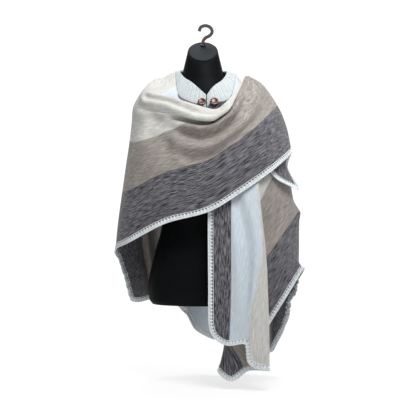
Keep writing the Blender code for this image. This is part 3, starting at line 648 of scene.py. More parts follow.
    def border(self, neck_end: float) -> list[tuple[int, int]]:
        """The free border, from the collar down the opening, round to the seam.

        Args:
            neck_end: cm along the cloth of the collar's end.

        Returns:
            Row and column of each of its samples.
        """
        rows, columns = self.u.shape
        start = int(np.argmin(np.abs(self.v[:, 0] - neck_end))) - 1
        opening = [(r, 0) for r in range(start, 0, -1)]
        front = [(0, c) for c in range(columns)]
        side = [(r, columns - 1) for r in range(1, rows - 1)]
        back = [(rows - 1, c) for c in range(columns - 1, -1, -1)]
        return opening + front + side + back


def finish_mesh(name: str, bm: bmesh.types.BMesh) -> bpy.types.Object:
    """A smooth-shaded object of a bmesh, in the scene.

    Args:
        name: the piece's name.
        bm: its shape, which is freed.

    Returns:
        The object, unturned and unscaled at the origin.
    """
    mesh = bpy.data.meshes.new(name)
    bm.to_mesh(mesh)
    bm.free()
    mesh.shade_smooth()
    mesh.set_sharp_from_angle(angle=SHARP)
    piece = bpy.data.objects.new(name, mesh)
    bpy.context.scene.collection.objects.link(piece)
    return piece


def loft(
    name: str, rings: np.ndarray, closed: bool = True, pile: np.ndarray | None = None
) -> bpy.types.Object:
    """A piece through rings of equally many points.

    Args:
        name: the piece's name.
        rings: ring, point round it, and its three coordinates.
        closed: whether the rings go all the way round and the ends are filled.
        pile: a number from 0 to 1 of every point, kept as an attribute of that name, that paints light and
            shade.

    Returns:
        The piece, its faces outwards.
    """
    count, around = rings.shape[:2]
    segments = around if closed else around - 1
    bm = bmesh.new()
    bmesh.ops.create_grid(bm, x_segments=segments, y_segments=count - 1, size=1.0)
    layer = None if pile is None else bm.verts.layers.float.new("pile")
    for index, vert in enumerate(list(bm.verts)):
        row, column = divmod(index, segments + 1)
        vert.co = rings[row, column % around]
        if layer:
            vert[layer] = pile[row, column % around]
    if closed:
        bmesh.ops.remove_doubles(bm, verts=bm.verts, dist=CLOSE)
        bmesh.ops.holes_fill(bm, edges=bm.edges, sides=0)
    bmesh.ops.recalc_face_normals(bm, faces=bm.faces)
    return finish_mesh(name, bm)


def dress(piece: bpy.types.Object, finish: bpy.types.Material, slot: Slot, *nodes: str) -> None:
    """Give a piece its material and its place in the frame.

    Args:
        piece: the piece.
        finish: its material.
        slot: the record's slot that the material stands for; not used.
        nodes: the CAD nodes that the piece replaces.
    """
    piece.data.materials.clear()
    piece.data.materials.append(finish)
    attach(piece, BODY)
    if nodes:
        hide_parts(*nodes)
    log.info("%s: %d faces", piece.name, len(piece.data.polygons))


class Value:
    """A node's output socket whose operators add Math nodes."""

    def __init__(self, graph: "Graph", socket: bpy.types.NodeSocket) -> None:
        """Hold a socket of this graph."""
        self.graph = graph
        self.socket = socket

    def __add__(self, other: "Value | float") -> "Value":
        """This plus other."""
        return self.graph.maths("ADD", self, other)

    def __radd__(self, other: float) -> "Value":
        """The sum of other and this."""
        return self.graph.maths("ADD", other, self)

    def __sub__(self, other: "Value | float") -> "Value":
        """This less other."""
        return self.graph.maths("SUBTRACT", self, other)

    def __rsub__(self, other: float) -> "Value":
        """The difference of other and this."""
        return self.graph.maths("SUBTRACT", other, self)

    def __mul__(self, other: "Value | float") -> "Value":
        """This times other."""
        return self.graph.maths("MULTIPLY", self, other)

    def __rmul__(self, other: float) -> "Value":
        """The product of other and this."""
        return self.graph.maths("MULTIPLY", other, self)

    def __truediv__(self, other: "Value | float") -> "Value":
        """This over other."""
        return self.graph.maths("DIVIDE", self, other)

    def wave(self) -> "Value":
        """The sine of this."""
        return self.graph.maths("SINE", self)

    def held(self) -> "Value":
        """This kept between 0 and 1."""
        return self.graph.maths("MINIMUM", self.graph.maths("MAXIMUM", self, 0.0), 1.0)

    def step(self, at: float, width: float) -> "Value":
        """0 below a value and 1 above it, rising over a width."""
        return ((self - (at - width / 2)) / width).held()


class Graph:
    """The nodes of one material."""

    def __init__(self, name: str) -> None:
        """Start a material with a Principled shader.

        Args:
            name: the material's name.
        """
        self.material = bpy.data.materials.new(name)
        self.material.use_nodes = True
        self.tree = self.material.node_tree
        self.shader = self.tree.nodes["Principled BSDF"]

    def add(self, kind: str, settings: dict | None = None, inputs: dict | None = None) -> bpy.types.Node:
        """Add a node.

        Args:
            kind: its type, without the word ShaderNode.
            settings: its properties, and a ramp's stops, which are set first.
            inputs: values or links of its sockets, by name or number.

        Returns:
            The node.
        """
        node = self.tree.nodes.new(f"ShaderNode{kind}")
        for name, value in (settings or {}).items():
            if name == "stops":
                ramp = node.color_ramp
                for place, colour in value[1:-1]:
                    ramp.elements.new(place).color = (*colour, 1.0)
                for end, (place, colour) in ((0, value[0]), (-1, value[-1])):
                    ramp.elements[end].position = place
                    ramp.elements[end].color = (*colour, 1.0)
            else:
                setattr(node, name, value)
        for name, value in (inputs or {}).items():
            self.feed(node.inputs[name], value)
        return node

    def feed(self, socket: bpy.types.NodeSocket, value: "Value | float | tuple") -> None:
        """Link a value to a socket, or set it.

        Args:
            socket: the input.
            value: what it reads.
        """
        if isinstance(value, Value):
            self.tree.links.new(value.socket, socket)
        elif isinstance(value, tuple) and len(value) == 3 and socket.type == "RGBA":
            socket.default_value = (*value, 1.0)
        else:
            socket.default_value = value

    def out(self, node: bpy.types.Node, output: int | str = 0) -> Value:
        """An output of a node."""
        return Value(self, node.outputs[output])

    def maths(self, operation: str, *values: "Value | float") -> Value:
        """A Math node on values."""
        return self.out(self.add("Math", {"operation": operation}, dict(enumerate(values))))

    def place(self) -> Value:
        """Where a point is on the object, in metres."""
        return self.out(self.add("TexCoord"), "Object")

    def parts(self, vector: Value) -> tuple[Value, Value, Value]:
        """A vector's three numbers."""
        split = self.add("SeparateXYZ", None, {0: vector})
        return self.out(split, 0), self.out(split, 1), self.out(split, 2)

    def cloth_place(self) -> tuple[Value, Value]:
        """Metres across and along the cloth, from its UV map."""
        return self.parts(self.out(self.add("UVMap", {"uv_map": "cloth"})))[:2]

    def joined(self, x: "Value | float", y: "Value | float", z: "Value | float" = 0.0) -> Value:
        """Three numbers as a vector."""
        return self.out(self.add("CombineXYZ", None, {0: x, 1: y, 2: z}))

    def grain(self, vector: Value, scale: float = 1.0, detail: float = 2.0, rough: float = 0.5) -> Value:
        """Add a noise.

        Args:
            vector: where it is read.
            scale: its cells for each step of the vector.
            detail: how many finer noises it adds.
            rough: how strong they are.

        Returns:
            A value from 0 to 1.
        """
        settings = {"noise_dimensions": "3D"}
        inputs = {"Vector": vector, "Scale": scale, "Detail": detail, "Roughness": rough}
        return self.out(self.add("TexNoise", settings, inputs), 0)

    def ramp(self, value: Value, stops: Sequence[tuple[float, tuple]]) -> Value:
        """A colour that changes with a value."""
        return self.out(self.add("ValToRGB", {"stops": stops}, {0: value}))

    def mix(self, factor: "Value | float", first: "Value | tuple", second: "Value | tuple") -> Value:
        """A colour between two."""
        node = self.add("Mix", {"data_type": "RGBA"}, {0: factor, 6: first, 7: second})
        return self.out(node, 2)

    def finish(self, colour: "Value | tuple", roughness: "Value | float", fixed: dict | None = None) -> None:
        """Feed the shader.

        Args:
            colour: the base colour.
            roughness: the roughness.
            fixed: other numbers and colours of the shader, the same all over.
        """
        self.feed(self.shader.inputs["Base Color"], colour)
        self.feed(self.shader.inputs["Roughness"], roughness)
        for name, value in (fixed or {}).items():
            self.feed(self.shader.inputs[name], value)

    def relief(self, height: Value, depth: float, strength: float = 1.0) -> None:
        """Raise the surface's shading by a height from 0 to 1, of a depth in metres."""
        bump = self.add("Bump", None, {"Height": height, "Distance": depth, "Strength": strength})
        self.feed(self.shader.inputs["Normal"], self.out(bump))


@dataclass(frozen=True)
class Stripe:
    """One warp stripe: where it ends, in cm from the opening, and its two heathered yarns."""

    end: float
    deep: tuple[float, float, float]
    light: tuple[float, float, float]


DARK = ((0.012, 0.011, 0.013), (0.185, 0.182, 0.205))
WHITE = ((0.46, 0.52, 0.57), (0.56, 0.62, 0.675))
CREAM = ((0.44, 0.438, 0.415), (0.58, 0.572, 0.545))
TAUPE = ((0.190, 0.170, 0.152), (0.340, 0.308, 0.285))


@dataclass(frozen=True)
class StripedWool:
    """Warp-striped alpaca and wool cloth, its yarns heathered along the stripes."""

    stripes: tuple[Stripe, ...] = (
        Stripe(5.6, *DARK),
        Stripe(16.0, *WHITE),
        Stripe(34.0, *CREAM),
        Stripe(48.5, *TAUPE),
        Stripe(64.5, *DARK),
    )
    change: float = 0.0012  # over which one stripe gives way to the next
    fray: float = 0.0016  # how far yarns stray over that line
    yarn: float = 0.0021  # between two warp yarns
    fluff: float = 0.22
    # Cells a metre across and along the cloth: of the streaks' three sizes, of the fray and of the nubs.
    fine: tuple[float, float] = (440.0, 38.0)
    broad: tuple[float, float] = (280.0, 22.0)
    cloud: tuple[float, float] = (24.0, 9.0)
    frayed: tuple[float, float] = (60.0, 400.0)
    nubs: tuple[float, float] = (900.0, 520.0)
    shares: tuple[float, float, float] = (0.72, 0.24, 0.04)  # of the three sizes in the streaks
    contrast: float = 6.2
    lightness: float = 0.45
    depth: float = 0.0007  # of the weave's relief

    def tones(self, graph: Graph, across: Value, light: bool) -> Value:
        """The stripes' deep or light yarn at a place across the cloth.

        Args:
            graph: the material's nodes.
            across: metres from the opening edge.
            light: whether the light yarn is asked for.

        Returns:
            Its colour.
        """
        width, half = self.stripes[-1].end * CM, self.change / 2
        stops, start = [], 0.0
        for stripe in self.stripes:
            colour = stripe.light if light else stripe.deep
            end = stripe.end * CM
            stops += [((start + half) / width, colour), ((end - half) / width, colour)]
            start = end
        return graph.ramp(across / width, stops)

    def material(self) -> bpy.types.Material:
        """Set up the cloth's streaks, stripes and weave.

        Returns:
            The material.
        """
        graph = Graph("striped_wool")
        across, along = graph.cloth_place()

        def patches(cells: tuple[float, float], level: float, detail: float, rough: float = 0.5) -> Value:
            """A noise of so many cells a metre across and along the cloth."""
            vector = graph.joined(across * cells[0], along * cells[1], level)
            return graph.grain(vector, detail=detail, rough=rough)

        edge = across + (patches(self.frayed, 0.0, 1.0) - 0.5) * self.fray
        fine = patches(self.fine, 0.0, 2.0, 0.65)
        broad, cloud = patches(self.broad, 7.0, 1.5), patches(self.cloud, 3.0, 2.0)
        mean = fine * self.shares[0] + broad * self.shares[1] + cloud * self.shares[2]
        streak = ((mean - 0.5) * self.contrast + self.lightness).held()
        colour = graph.mix(streak, self.tones(graph, edge, False), self.tones(graph, edge, True))
        rib = (across * (2 * math.pi / self.yarn)).wave() * 0.5 + 0.5
        nub = patches(self.nubs, 1.0, 1.0)
        graph.relief(rib * 0.45 + nub * 0.75 + fine * 0.5, self.depth, 0.55)
        fixed = {"Sheen Weight": self.fluff, "Sheen Roughness": 0.6, "Specular IOR Level": 0.15}
        graph.finish(colour, 0.86 + nub * 0.1, fixed)
        return graph.material


@dataclass(frozen=True)
class SpunYarn:
    """Plied wool yarn, in one colour with a softer shade between its plies."""

    name: str
    deep: tuple[float, float, float]
    light: tuple[float, float, float]
    grain_size: float = 0.0016
    knitted: bool = False  # whether its piece has the attribute pile: painted light, 1 on top of a stitch, and painted shade lower down between stitches
    patch: float = 55.0  # cells a metre of its lighter places
    contrast: float = 2.4
    lightness: float = 0.55
    depth: float = 0.0006

    def material(self) -> bpy.types.Material:
        """Set up the yarn's fibres and its lighter places.

        Returns:
            The material.
        """
        graph = Graph(self.name)
        place = graph.place()
        fibre = graph.grain(place, scale=1 / self.grain_size, detail=2.0, rough=0.6)
        patch = graph.grain(place, scale=self.patch, detail=1.0)
        tone = ((fibre * 0.6 + patch * 0.4 - 0.5) * self.contrast + self.lightness).held()
        if self.knitted:
            # Painted light and shade: lighter on top of each stitch, darker in the gaps between stitches.
            pile = graph.out(graph.add("Attribute", {"attribute_name": "pile"}), "Fac")
            tone = (tone * 0.3 + pile * 1.1 - 0.05).held()
        graph.relief(fibre, self.depth, 0.6)
        fixed = {"Sheen Weight": 0.25, "Sheen Roughness": 0.5, "Specular IOR Level": 0.15}
        graph.finish(graph.mix(tone, self.deep, self.light), 0.88 + fibre * 0.1, fixed)
        return graph.material


@dataclass(frozen=True)
class PolishedHorn:
    """Brown horn with darker streaks and a polished face."""

    # Share of the streaks up to each tone, from the darkest to the lightest.
    tones: tuple[tuple[float, tuple[float, float, float]], ...] = (
        (0.0, (0.012, 0.004, 0.003)),
        (0.45, (0.075, 0.024, 0.012)),
        (1.0, (0.22, 0.09, 0.045)),
    )
    contrast: float = 3.2
    polish: float = 0.35
    depth: float = 0.0002

    def material(self) -> bpy.types.Material:
        """Set up the horn's clouds and streaks.

        Returns:
            The material.
        """
        graph = Graph("polished_horn")
        x, y, z = graph.parts(graph.place())
        cloud = graph.grain(graph.joined(x * 160, y * 160, z * 420), detail=3.0, rough=0.6)
        streak = graph.grain(graph.joined(x * 900, y * 300, z * 300), detail=1.0)
        tone = ((cloud * 0.7 + streak * 0.3 - 0.5) * self.contrast + 0.5).held()
        graph.relief(streak, self.depth, 0.3)
        fixed = {"Coat Weight": self.polish, "Coat Roughness": 0.05, "Specular IOR Level": 0.35}
        graph.finish(graph.ramp(tone, self.tones), 0.16 + streak * 0.12, fixed)
        return graph.material


@dataclass(frozen=True)
class MouldedPlastic:
    """Black moulded plastic with a faint pebbled skin."""

    name: str
    deep: tuple[float, float, float]
    light: tuple[float, float, float]
    roughness: float
    pebble: float = 0.00012  # depth of its skin
    sheen: float = 0.03

    def material(self) -> bpy.types.Material:
        """Set up the plastic's skin and its wear.

        Returns:
            The material.
        """
        graph = Graph(self.name)
        place = graph.place()
        skin = graph.grain(place, scale=900.0, detail=1.0)
        wear = graph.grain(place, scale=14.0, detail=3.0, rough=0.6)
        graph.relief(skin, self.pebble, 0.5)
        rough = self.roughness + (wear - 0.5) * 0.14 + (skin - 0.5) * 0.05
        colour = graph.mix(wear.step(0.5, 0.5), self.deep, self.light)
        graph.finish(colour, rough, {"Specular IOR Level": self.sheen})
        return graph.material


@dataclass(frozen=True)
class BlackedSteel:
    """Blacked steel with a dark red mark at its foot."""

    mark: tuple[float, float] = (-0.0455, -0.0385)  # heights of the mark's foot and top
    black: tuple[float, float, float] = (0.012, 0.014, 0.015)
    worn: tuple[float, float, float] = (0.055, 0.06, 0.062)
    red: tuple[float, float, float] = (0.16, 0.006, 0.015)
    soft: float = 0.0008  # over which the mark's edges fade

    def material(self) -> bpy.types.Material:
        """Set up the steel's worn black and its mark.

        Returns:
            The material.
        """
        graph = Graph("blacked_steel")
        place = graph.place()
        height = graph.parts(place)[2]
        wear = graph.grain(place, scale=260.0, detail=3.0, rough=0.6)
        band = height.step(self.mark[0], self.soft) * (1 - height.step(self.mark[1], self.soft))
        black = graph.mix(wear.step(0.62, 0.12), self.black, self.worn)
        graph.relief(wear, 0.0002, 0.4)
        colour = graph.mix(band, black, self.red)
        graph.finish(colour, 0.34 + wear * 0.2, {"Metallic": 0.3, "Specular IOR Level": 0.5})
        return graph.material


@dataclass(frozen=True)
class MattPaint:
    """The floor's and backdrop's even matt paint."""

    colour: tuple[float, float, float] = (0.32, 0.32, 0.32)
    glow: float = 0.72  # light of its own, as of a lit sweep
    cast: tuple[float, float, float] = (1.0, 1.0, 1.0)
    unevenness: float = 1.02

    def material(self) -> bpy.types.Material:
        """Set up the paint, which lights itself a little.

        Returns:
            The material.
        """
        graph = Graph("matt_paint")
        grain = graph.grain(graph.place(), scale=3.0, detail=1.0)
        lighter = tuple(self.unevenness * part for part in self.colour)
        fixed = {"Specular IOR Level": 0.1, "Emission Color": self.cast, "Emission Strength": self.glow}
        graph.finish(graph.mix(grain, self.colour, lighter), 0.9, fixed)
        return graph.material


def bead(length: float, width: float, thick: float, sides: int = 6, rings: int = 4) -> bpy.types.Mesh:
    """A rounded bar of yarn, lying along Y about the origin.

    Args:
        length: its size along Y in metres.
        width: its size along X.
        thick: its size along Z.
        sides: faces round it.
        rings: faces along it.

    Returns:
        The mesh, to be copied into a piece.
    """
    bm = bmesh.new()
    bmesh.ops.create_uvsphere(bm, u_segments=sides, v_segments=rings, radius=0.5)
    bmesh.ops.rotate(bm, verts=bm.verts, cent=(0, 0, 0), matrix=Matrix.Rotation(math.pi / 2, 3, "X"))
    bmesh.ops.scale(bm, verts=bm.verts, vec=(width, length, thick))
    mesh = bpy.data.meshes.new("bead")
    bm.to_mesh(mesh)
    bm.free()
    return mesh


def strung(name: str, laid: list[tuple[bpy.types.Mesh, Matrix]]) -> bpy.types.Object:
    """One piece of many copies of a few small meshes.

    Args:
        name: the piece's name.
        laid: each copy's mesh and its place.

    Returns:
        The piece.
    """
    bm = bmesh.new()
    for mesh, place in laid:
        mesh.transform(place)
        bm.from_mesh(mesh)
        mesh.transform(place.inverted())
    return finish_mesh(name, bm)


def frame_at(origin: np.ndarray, along: np.ndarray, out: np.ndarray, up: np.ndarray) -> Matrix:
    """A place whose X, Y and Z run along, out and up.

    Args:
        origin: its middle.
        along: its X.
        out: its Y.
        up: its Z.

    Returns:
        Its matrix.
    """
    place = Matrix.Identity(4)
    for column, axis in enumerate((along, out, up)):
        for row in range(3):
            place[row][column] = axis[row]
    place.translation = Vector(origin)
    return place


@dataclass
class CrochetBorder:
    """The crocheted edging of one run of border: fans of posts between a foundation row and a chain."""

    name: str
    width: float = 0.0118  # from the cloth's edge to the chain's outer side
    bite: float = 0.0042  # how far the stitches reach over the cloth
    pitch: float = 0.0102  # between two fans
    shade_ground: float = 0.0016  # thickness of the dark strip behind the stitches, painted shade in their holes
    inset: tuple[float, float] = (0.0008, 0.002)  # of the dark strip inside the border's near and far edge
    smoothing: int = 8
    turning: int = 6  # samples over which the last of a border turns to follow the seam
    depth: float = 0.0054  # of a fan
    post: float = 0.0032  # width of its middle post
    slant: float = 0.0030  # width of a slanted one
    splay: float = 0.0025  # from the middle post to a slanted one
    lift: float = 0.0008  # of a slanted one towards the chain
    lean: float = 0.22  # turn of a slanted one
    link: tuple[float, float, float] = (0.0072, 0.0042, 0.0046)  # of the chain
    link_turn: float = -0.25
    link_inset: float = 0.0018
    foot: tuple[float, float] = (0.0066, 0.0024)  # of the foundation row
    foot_turn: float = 0.18
    foot_inset: float = 0.0006

    def strip(self, grid: np.ndarray, path: list[tuple[int, int]], under: list[BVHTree]) -> np.ndarray:
        """The near and the far edge of the border's middle.

        Args:
            grid: the cloth's points.
            path: row and column of the cloth's points along the border.
            under: what the border clears.

        Returns:
            For each point of the path, its near and its far place.
        """
        normals = normals_of(grid)
        at = np.array([grid[r, c] for r, c in path])
        up = np.array([normals[r, c] for r, c in path])
        out = unit(np.cross(np.gradient(at, axis=0), up))
        for _ in range(self.smoothing):
            out[1:-1] = unit(out[:-2] + 2 * out[1:-1] + out[2:])
        if path[-1][1] == 0:
            blend = np.linspace(0, 1, self.turning)[:, None]
            seam = unit(grid[-1, 0] - grid[-2, 0])
            out[-self.turning :] = unit(out[-self.turning :] * (1 - blend) + seam * blend)
        far = lay_over(at + out * self.width, np.full(len(at), True), under, OVER_EDGING)
        return np.stack([at, at + unit(far - at) * self.width], axis=1)

    def places(self, strip: np.ndarray) -> list[Matrix]:
        """Space the fans evenly along the border.

        Args:
            strip: the border's near and far edge.

        Returns:
            A place for each, X along the border, Y outwards and Z up.
        """
        near, far = strip[:, 0], strip[:, 1]
        middle = (near + far) / 2
        run = run_of(middle)
        count = int(run[-1] // self.pitch)
        at = (np.arange(count) + 0.5) * run[-1] / count
        base = read_at(at, run, near)
        out = unit(read_at(at, run, far) - base)
        along = unit(read_at(at, run, np.gradient(middle, axis=0)))
        up = unit(np.cross(along, out))
        along = np.cross(out, up)
        return [frame_at(*rows) for rows in zip(base, along, out, up)]

    def shade_ground_strip(self, strip: np.ndarray) -> bpy.types.Object:
        """Make the closed dark strip behind the stitches, painted shade that shows in their holes.

        Args:
            strip: the border's near and far edge.

        Returns:
            The piece.
        """
        near, far = strip[:, 0], strip[:, 1]
        out = unit(far - near)
        half = unit(np.cross(out, np.gradient(near, axis=0))) * self.shade_ground / 2
        start, end = near + out * self.inset[0], far - out * self.inset[1]
        rings = np.stack([start - half, end - half, end + half, start + half], axis=1)
        return loft(f"{self.name}_ground", rings)

    def stitches(self, strip: np.ndarray) -> bpy.types.Object:
        """Make the fans, the foundation row and the chain as one piece.

        Args:
            strip: the border's near and far edge.

        Returns:
            The piece.
        """
        post = bead(self.width + self.bite, self.post, self.depth)
        slant = bead(self.width + 0.6 * self.bite, self.slant, self.depth * 0.9)
        link = bead(*self.link)
        foot = bead(*self.foot, self.depth * 0.92)
        middle = (self.width - self.bite) / 2
        quarter, across = self.pitch / 4, math.pi / 2
        # Yarns on both sides of a post: mesh, place along and out of the border, turn, and turn on its side.
        pairs = (
            (slant, self.splay, middle + self.lift, 0.0, -self.lean),
            (link, quarter, self.width - self.link_inset, across + self.link_turn, 0.0),
            (foot, quarter, -self.bite + self.foot_inset, across + self.foot_turn, 0.0),
        )
        laid = []
        for place in self.places(strip):
            laid.append((post, place @ Matrix.Translation((0, middle, 0))))
            for side in (-1, 1):
                for yarn, x, y, turn, lean in pairs:
                    spot = Matrix.Translation((side * x, y, 0))
                    laid.append((yarn, place @ spot @ Matrix.Rotation(turn + side * lean, 4, "Z")))
        return strung(self.name, laid)


@dataclass
class KnitCollar:
    """The ribbed band sewn round the neck, from the right end over the nape to the left end."""

    ribs: int = 46
    rows: int = 11  # stitches up the band
    wall: float = 0.0045
    rise: float = 0.0033  # relief of the stitches
    steps_along: int = 8  # samples across one rib
    steps_up: int = 5  # samples up one stitch
    seat: float = 0.0006  # from the cloth's edge to the band's foot
    meet: float = 0.0018  # how far each end is drawn towards the other
    smoothing: int = 4
    # The stitches, in shares of a rib's width: place and width of a leg, width of the purl between two
    # ribs; then the lean of a leg, the shares of its height that are even and lumpy, and the purl's.
    leg: tuple[float, float] = (0.2, 0.15)
    purl: float = 0.1
    lean: float = 1.5
    heights: tuple[float, float, float] = (0.35, 0.65, 0.3)
    rim: float = 0.04  # share of the band's width over which the stitches rise from its edges
    shade_ground: float = 0.6  # painted light level of the plain inner face
    # Share of the band's width up, and half thicknesses outwards, of its outer and its inner face.
    outer: tuple[tuple[float, float], ...] = ((0.0, 0.3), (0.2, 1.0), (0.5, 1.3), (0.8, 1.0), (1.0, 0.8))
    inner: tuple[tuple[float, float], ...] = ((0.0, -0.3), (0.3, -1.0), (0.7, -0.9), (1.0, -0.8))

    def rings(self, right: np.ndarray, left: np.ndarray) -> tuple[np.ndarray, np.ndarray, np.ndarray]:
        """The band's middle surface.

        Args:
            right: the right width's neck edge, from the collar's end to the nape.
            left: the left width's.

        Returns:
            Its lower edge, its upper edge and its outward normal, right end to left end.
        """
        t = np.linspace(-1, 1, self.ribs * self.steps_along + 1)
        edge = np.empty((len(t), 3))
        for neck, half in ((right, t < 0), (left, t >= 0)):
            edge[half] = read_at(np.abs(t[half]), np.linspace(0, 1, len(neck)), neck[::-1])
        marks, tops = zip(*COLLAR_TOP)
        upper = blend_matrix(marks, t) @ np.array(tops) * CM
        for _ in range(self.smoothing):
            edge[1:-1] = (edge[:-2] + 2 * edge[1:-1] + edge[2:]) / 4
        run = unit(np.gradient(edge, axis=0))
        rise = upper - edge
        rise -= run * np.sum(rise * run, axis=1, keepdims=True)
        lower = edge + unit(rise) * self.seat
        for end, inside in ((0, 1), (-1, -2)):
            for side in (lower, upper):
                side[end] += unit(side[end] - side[inside]) * self.meet
        normal = unit(np.cross(upper - lower, np.gradient(lower + upper, axis=0)))
        return lower, upper, normal

    def relief(self, up: float, count: int) -> np.ndarray:
        """Height of the knitted stitches along the band.

        Args:
            up: share of the band's width up.
            count: how many samples there are along it.

        Returns:
            Metres outwards, for each sample.
        """
        place = np.arange(count) / self.steps_along
        across = np.abs(place % 1 - 0.5)
        leg = np.exp(-(((across - self.leg[0]) / self.leg[1]) ** 2))
        lump = 0.5 + 0.5 * np.cos(2 * math.pi * (up * self.rows - self.lean * across))
        wave = 0.5 - 0.5 * np.cos(2 * math.pi * up * self.rows)
        purl = np.exp(-(((across - 0.5) / self.purl) ** 2)) * wave
        rim = np.clip(min(up, 1 - up) / self.rim, 0, 1)
        even, lumpy, between = self.heights
        return self.rise * (leg * (even + lumpy * lump) + between * purl) * rim

    def build(self, rings: tuple, finish: bpy.types.Material) -> bpy.types.Object:
        """Make and dress the band.

        Args:
            rings: its middle surface.
            finish: its yarn.

        Returns:
            The piece.
        """
        lower, upper, normal = rings
        rise, half = upper - lower, normal * self.wall / 2
        outline, pile = [], []
        for up, out in self.inner:
            outline.append(lower + rise * up + half * out)
            pile.append(np.full(len(lower), self.shade_ground))
        shares, sizes = zip(*self.outer)
        for up in np.linspace(1, 0, self.rows * self.steps_up + 1):
            body = half * np.interp(up, shares, sizes)
            stitch = self.relief(up, len(lower))
            outline.append(lower + rise * up + body + normal * stitch[:, None])
            # the stitch's height sets its painted light: lit on top, painted shade in the gaps
            pile.append(stitch / self.rise)
        piece = loft("knit_collar", np.stack(outline, axis=1), pile=np.stack(pile, axis=1))
        dress(piece, finish, Slot.KNIT, "collar")
        return piece


@dataclass
class HornButton:
    """A turned button lying on the collar, sewn on through two holes."""

    node: str
    along: float  # place along the collar, from -1 to 1
    steps: int = 40
    middle: float = 0.0024  # height of the middle of its thickness
    thread: tuple[float, float, float] = (0.0058, 0.0009, 0.0014)
    thread_place: tuple[float, float] = (0.0006, 0.0030)  # off the middle and above the underside
    thread_turn: float = 0.06
    # Radius and height in metres, from the underside round the rim to the middle of the dish.
    profile: tuple[tuple[float, float], ...] = (
        (0.0, 0.0),
        (0.0088, 0.0),
        (0.0112, 0.0007),
        (0.0124, 0.0019),
        (0.0125, 0.0030),
        (0.0119, 0.0042),
        (0.0107, 0.0048),
        (0.0096, 0.0045),
        (0.0084, 0.0035),
        (0.0060, 0.0029),
        (0.0030, 0.0027),
        (0.0, 0.0026),
    )

    def place(self, rings: tuple[np.ndarray, np.ndarray, np.ndarray]) -> Matrix:
        """Find where the button lies.

        Args:
            rings: the collar's middle surface.

        Returns:
            Its underside's middle, with Z off the collar.
        """
        lower, upper, normal = rings
        index = int(round((self.along + 1) / 2 * (len(lower) - 1)))
        up = normal[index]
        side = unit(np.cross(up, upper[index] - lower[index]))
        low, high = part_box(self.node)
        centre = (np.array(low) + np.array(high)) / 2
        return frame_at(centre - up * self.middle, side, np.cross(up, side), up)

    def build(self, rings: tuple, horn: bpy.types.Material, thread: bpy.types.Material) -> None:
        """Make and dress the button and its sewing thread.

        Args:
            rings: the collar's middle surface.
            horn: the button's material.
            thread: the thread's material.
        """
        place = self.place(rings)
        bm = bmesh.new()
        verts = [bm.verts.new((radius, 0.0, height)) for radius, height in self.profile]
        edges = [bm.edges.new(pair) for pair in zip(verts[:-1], verts[1:])]
        whole = {"angle": 2 * math.pi, "steps": self.steps, "use_merge": True}
        bmesh.ops.spin(bm, geom=verts + edges, cent=(0, 0, 0), axis=(0, 0, 1), **whole)
        bmesh.ops.remove_doubles(bm, verts=bm.verts, dist=CLOSE)
        bmesh.ops.recalc_face_normals(bm, faces=bm.faces)
        bmesh.ops.transform(bm, matrix=place, verts=bm.verts)
        dress(finish_mesh(f"{self.node}_horn", bm), horn, Slot.HORN, self.node)
        turn = bead(*self.thread, sides=8, rings=6)
        aside, height = self.thread_place
        laid = []
        for side in (-1, 1):
            shift = Matrix.Translation((side * aside, 0, height))
            laid.append((turn, place @ shift @ Matrix.Rotation(side * self.thread_turn, 4, "Z")))
        dress(strung(f"{self.node}_thread", laid), thread, Slot.CROCHET)


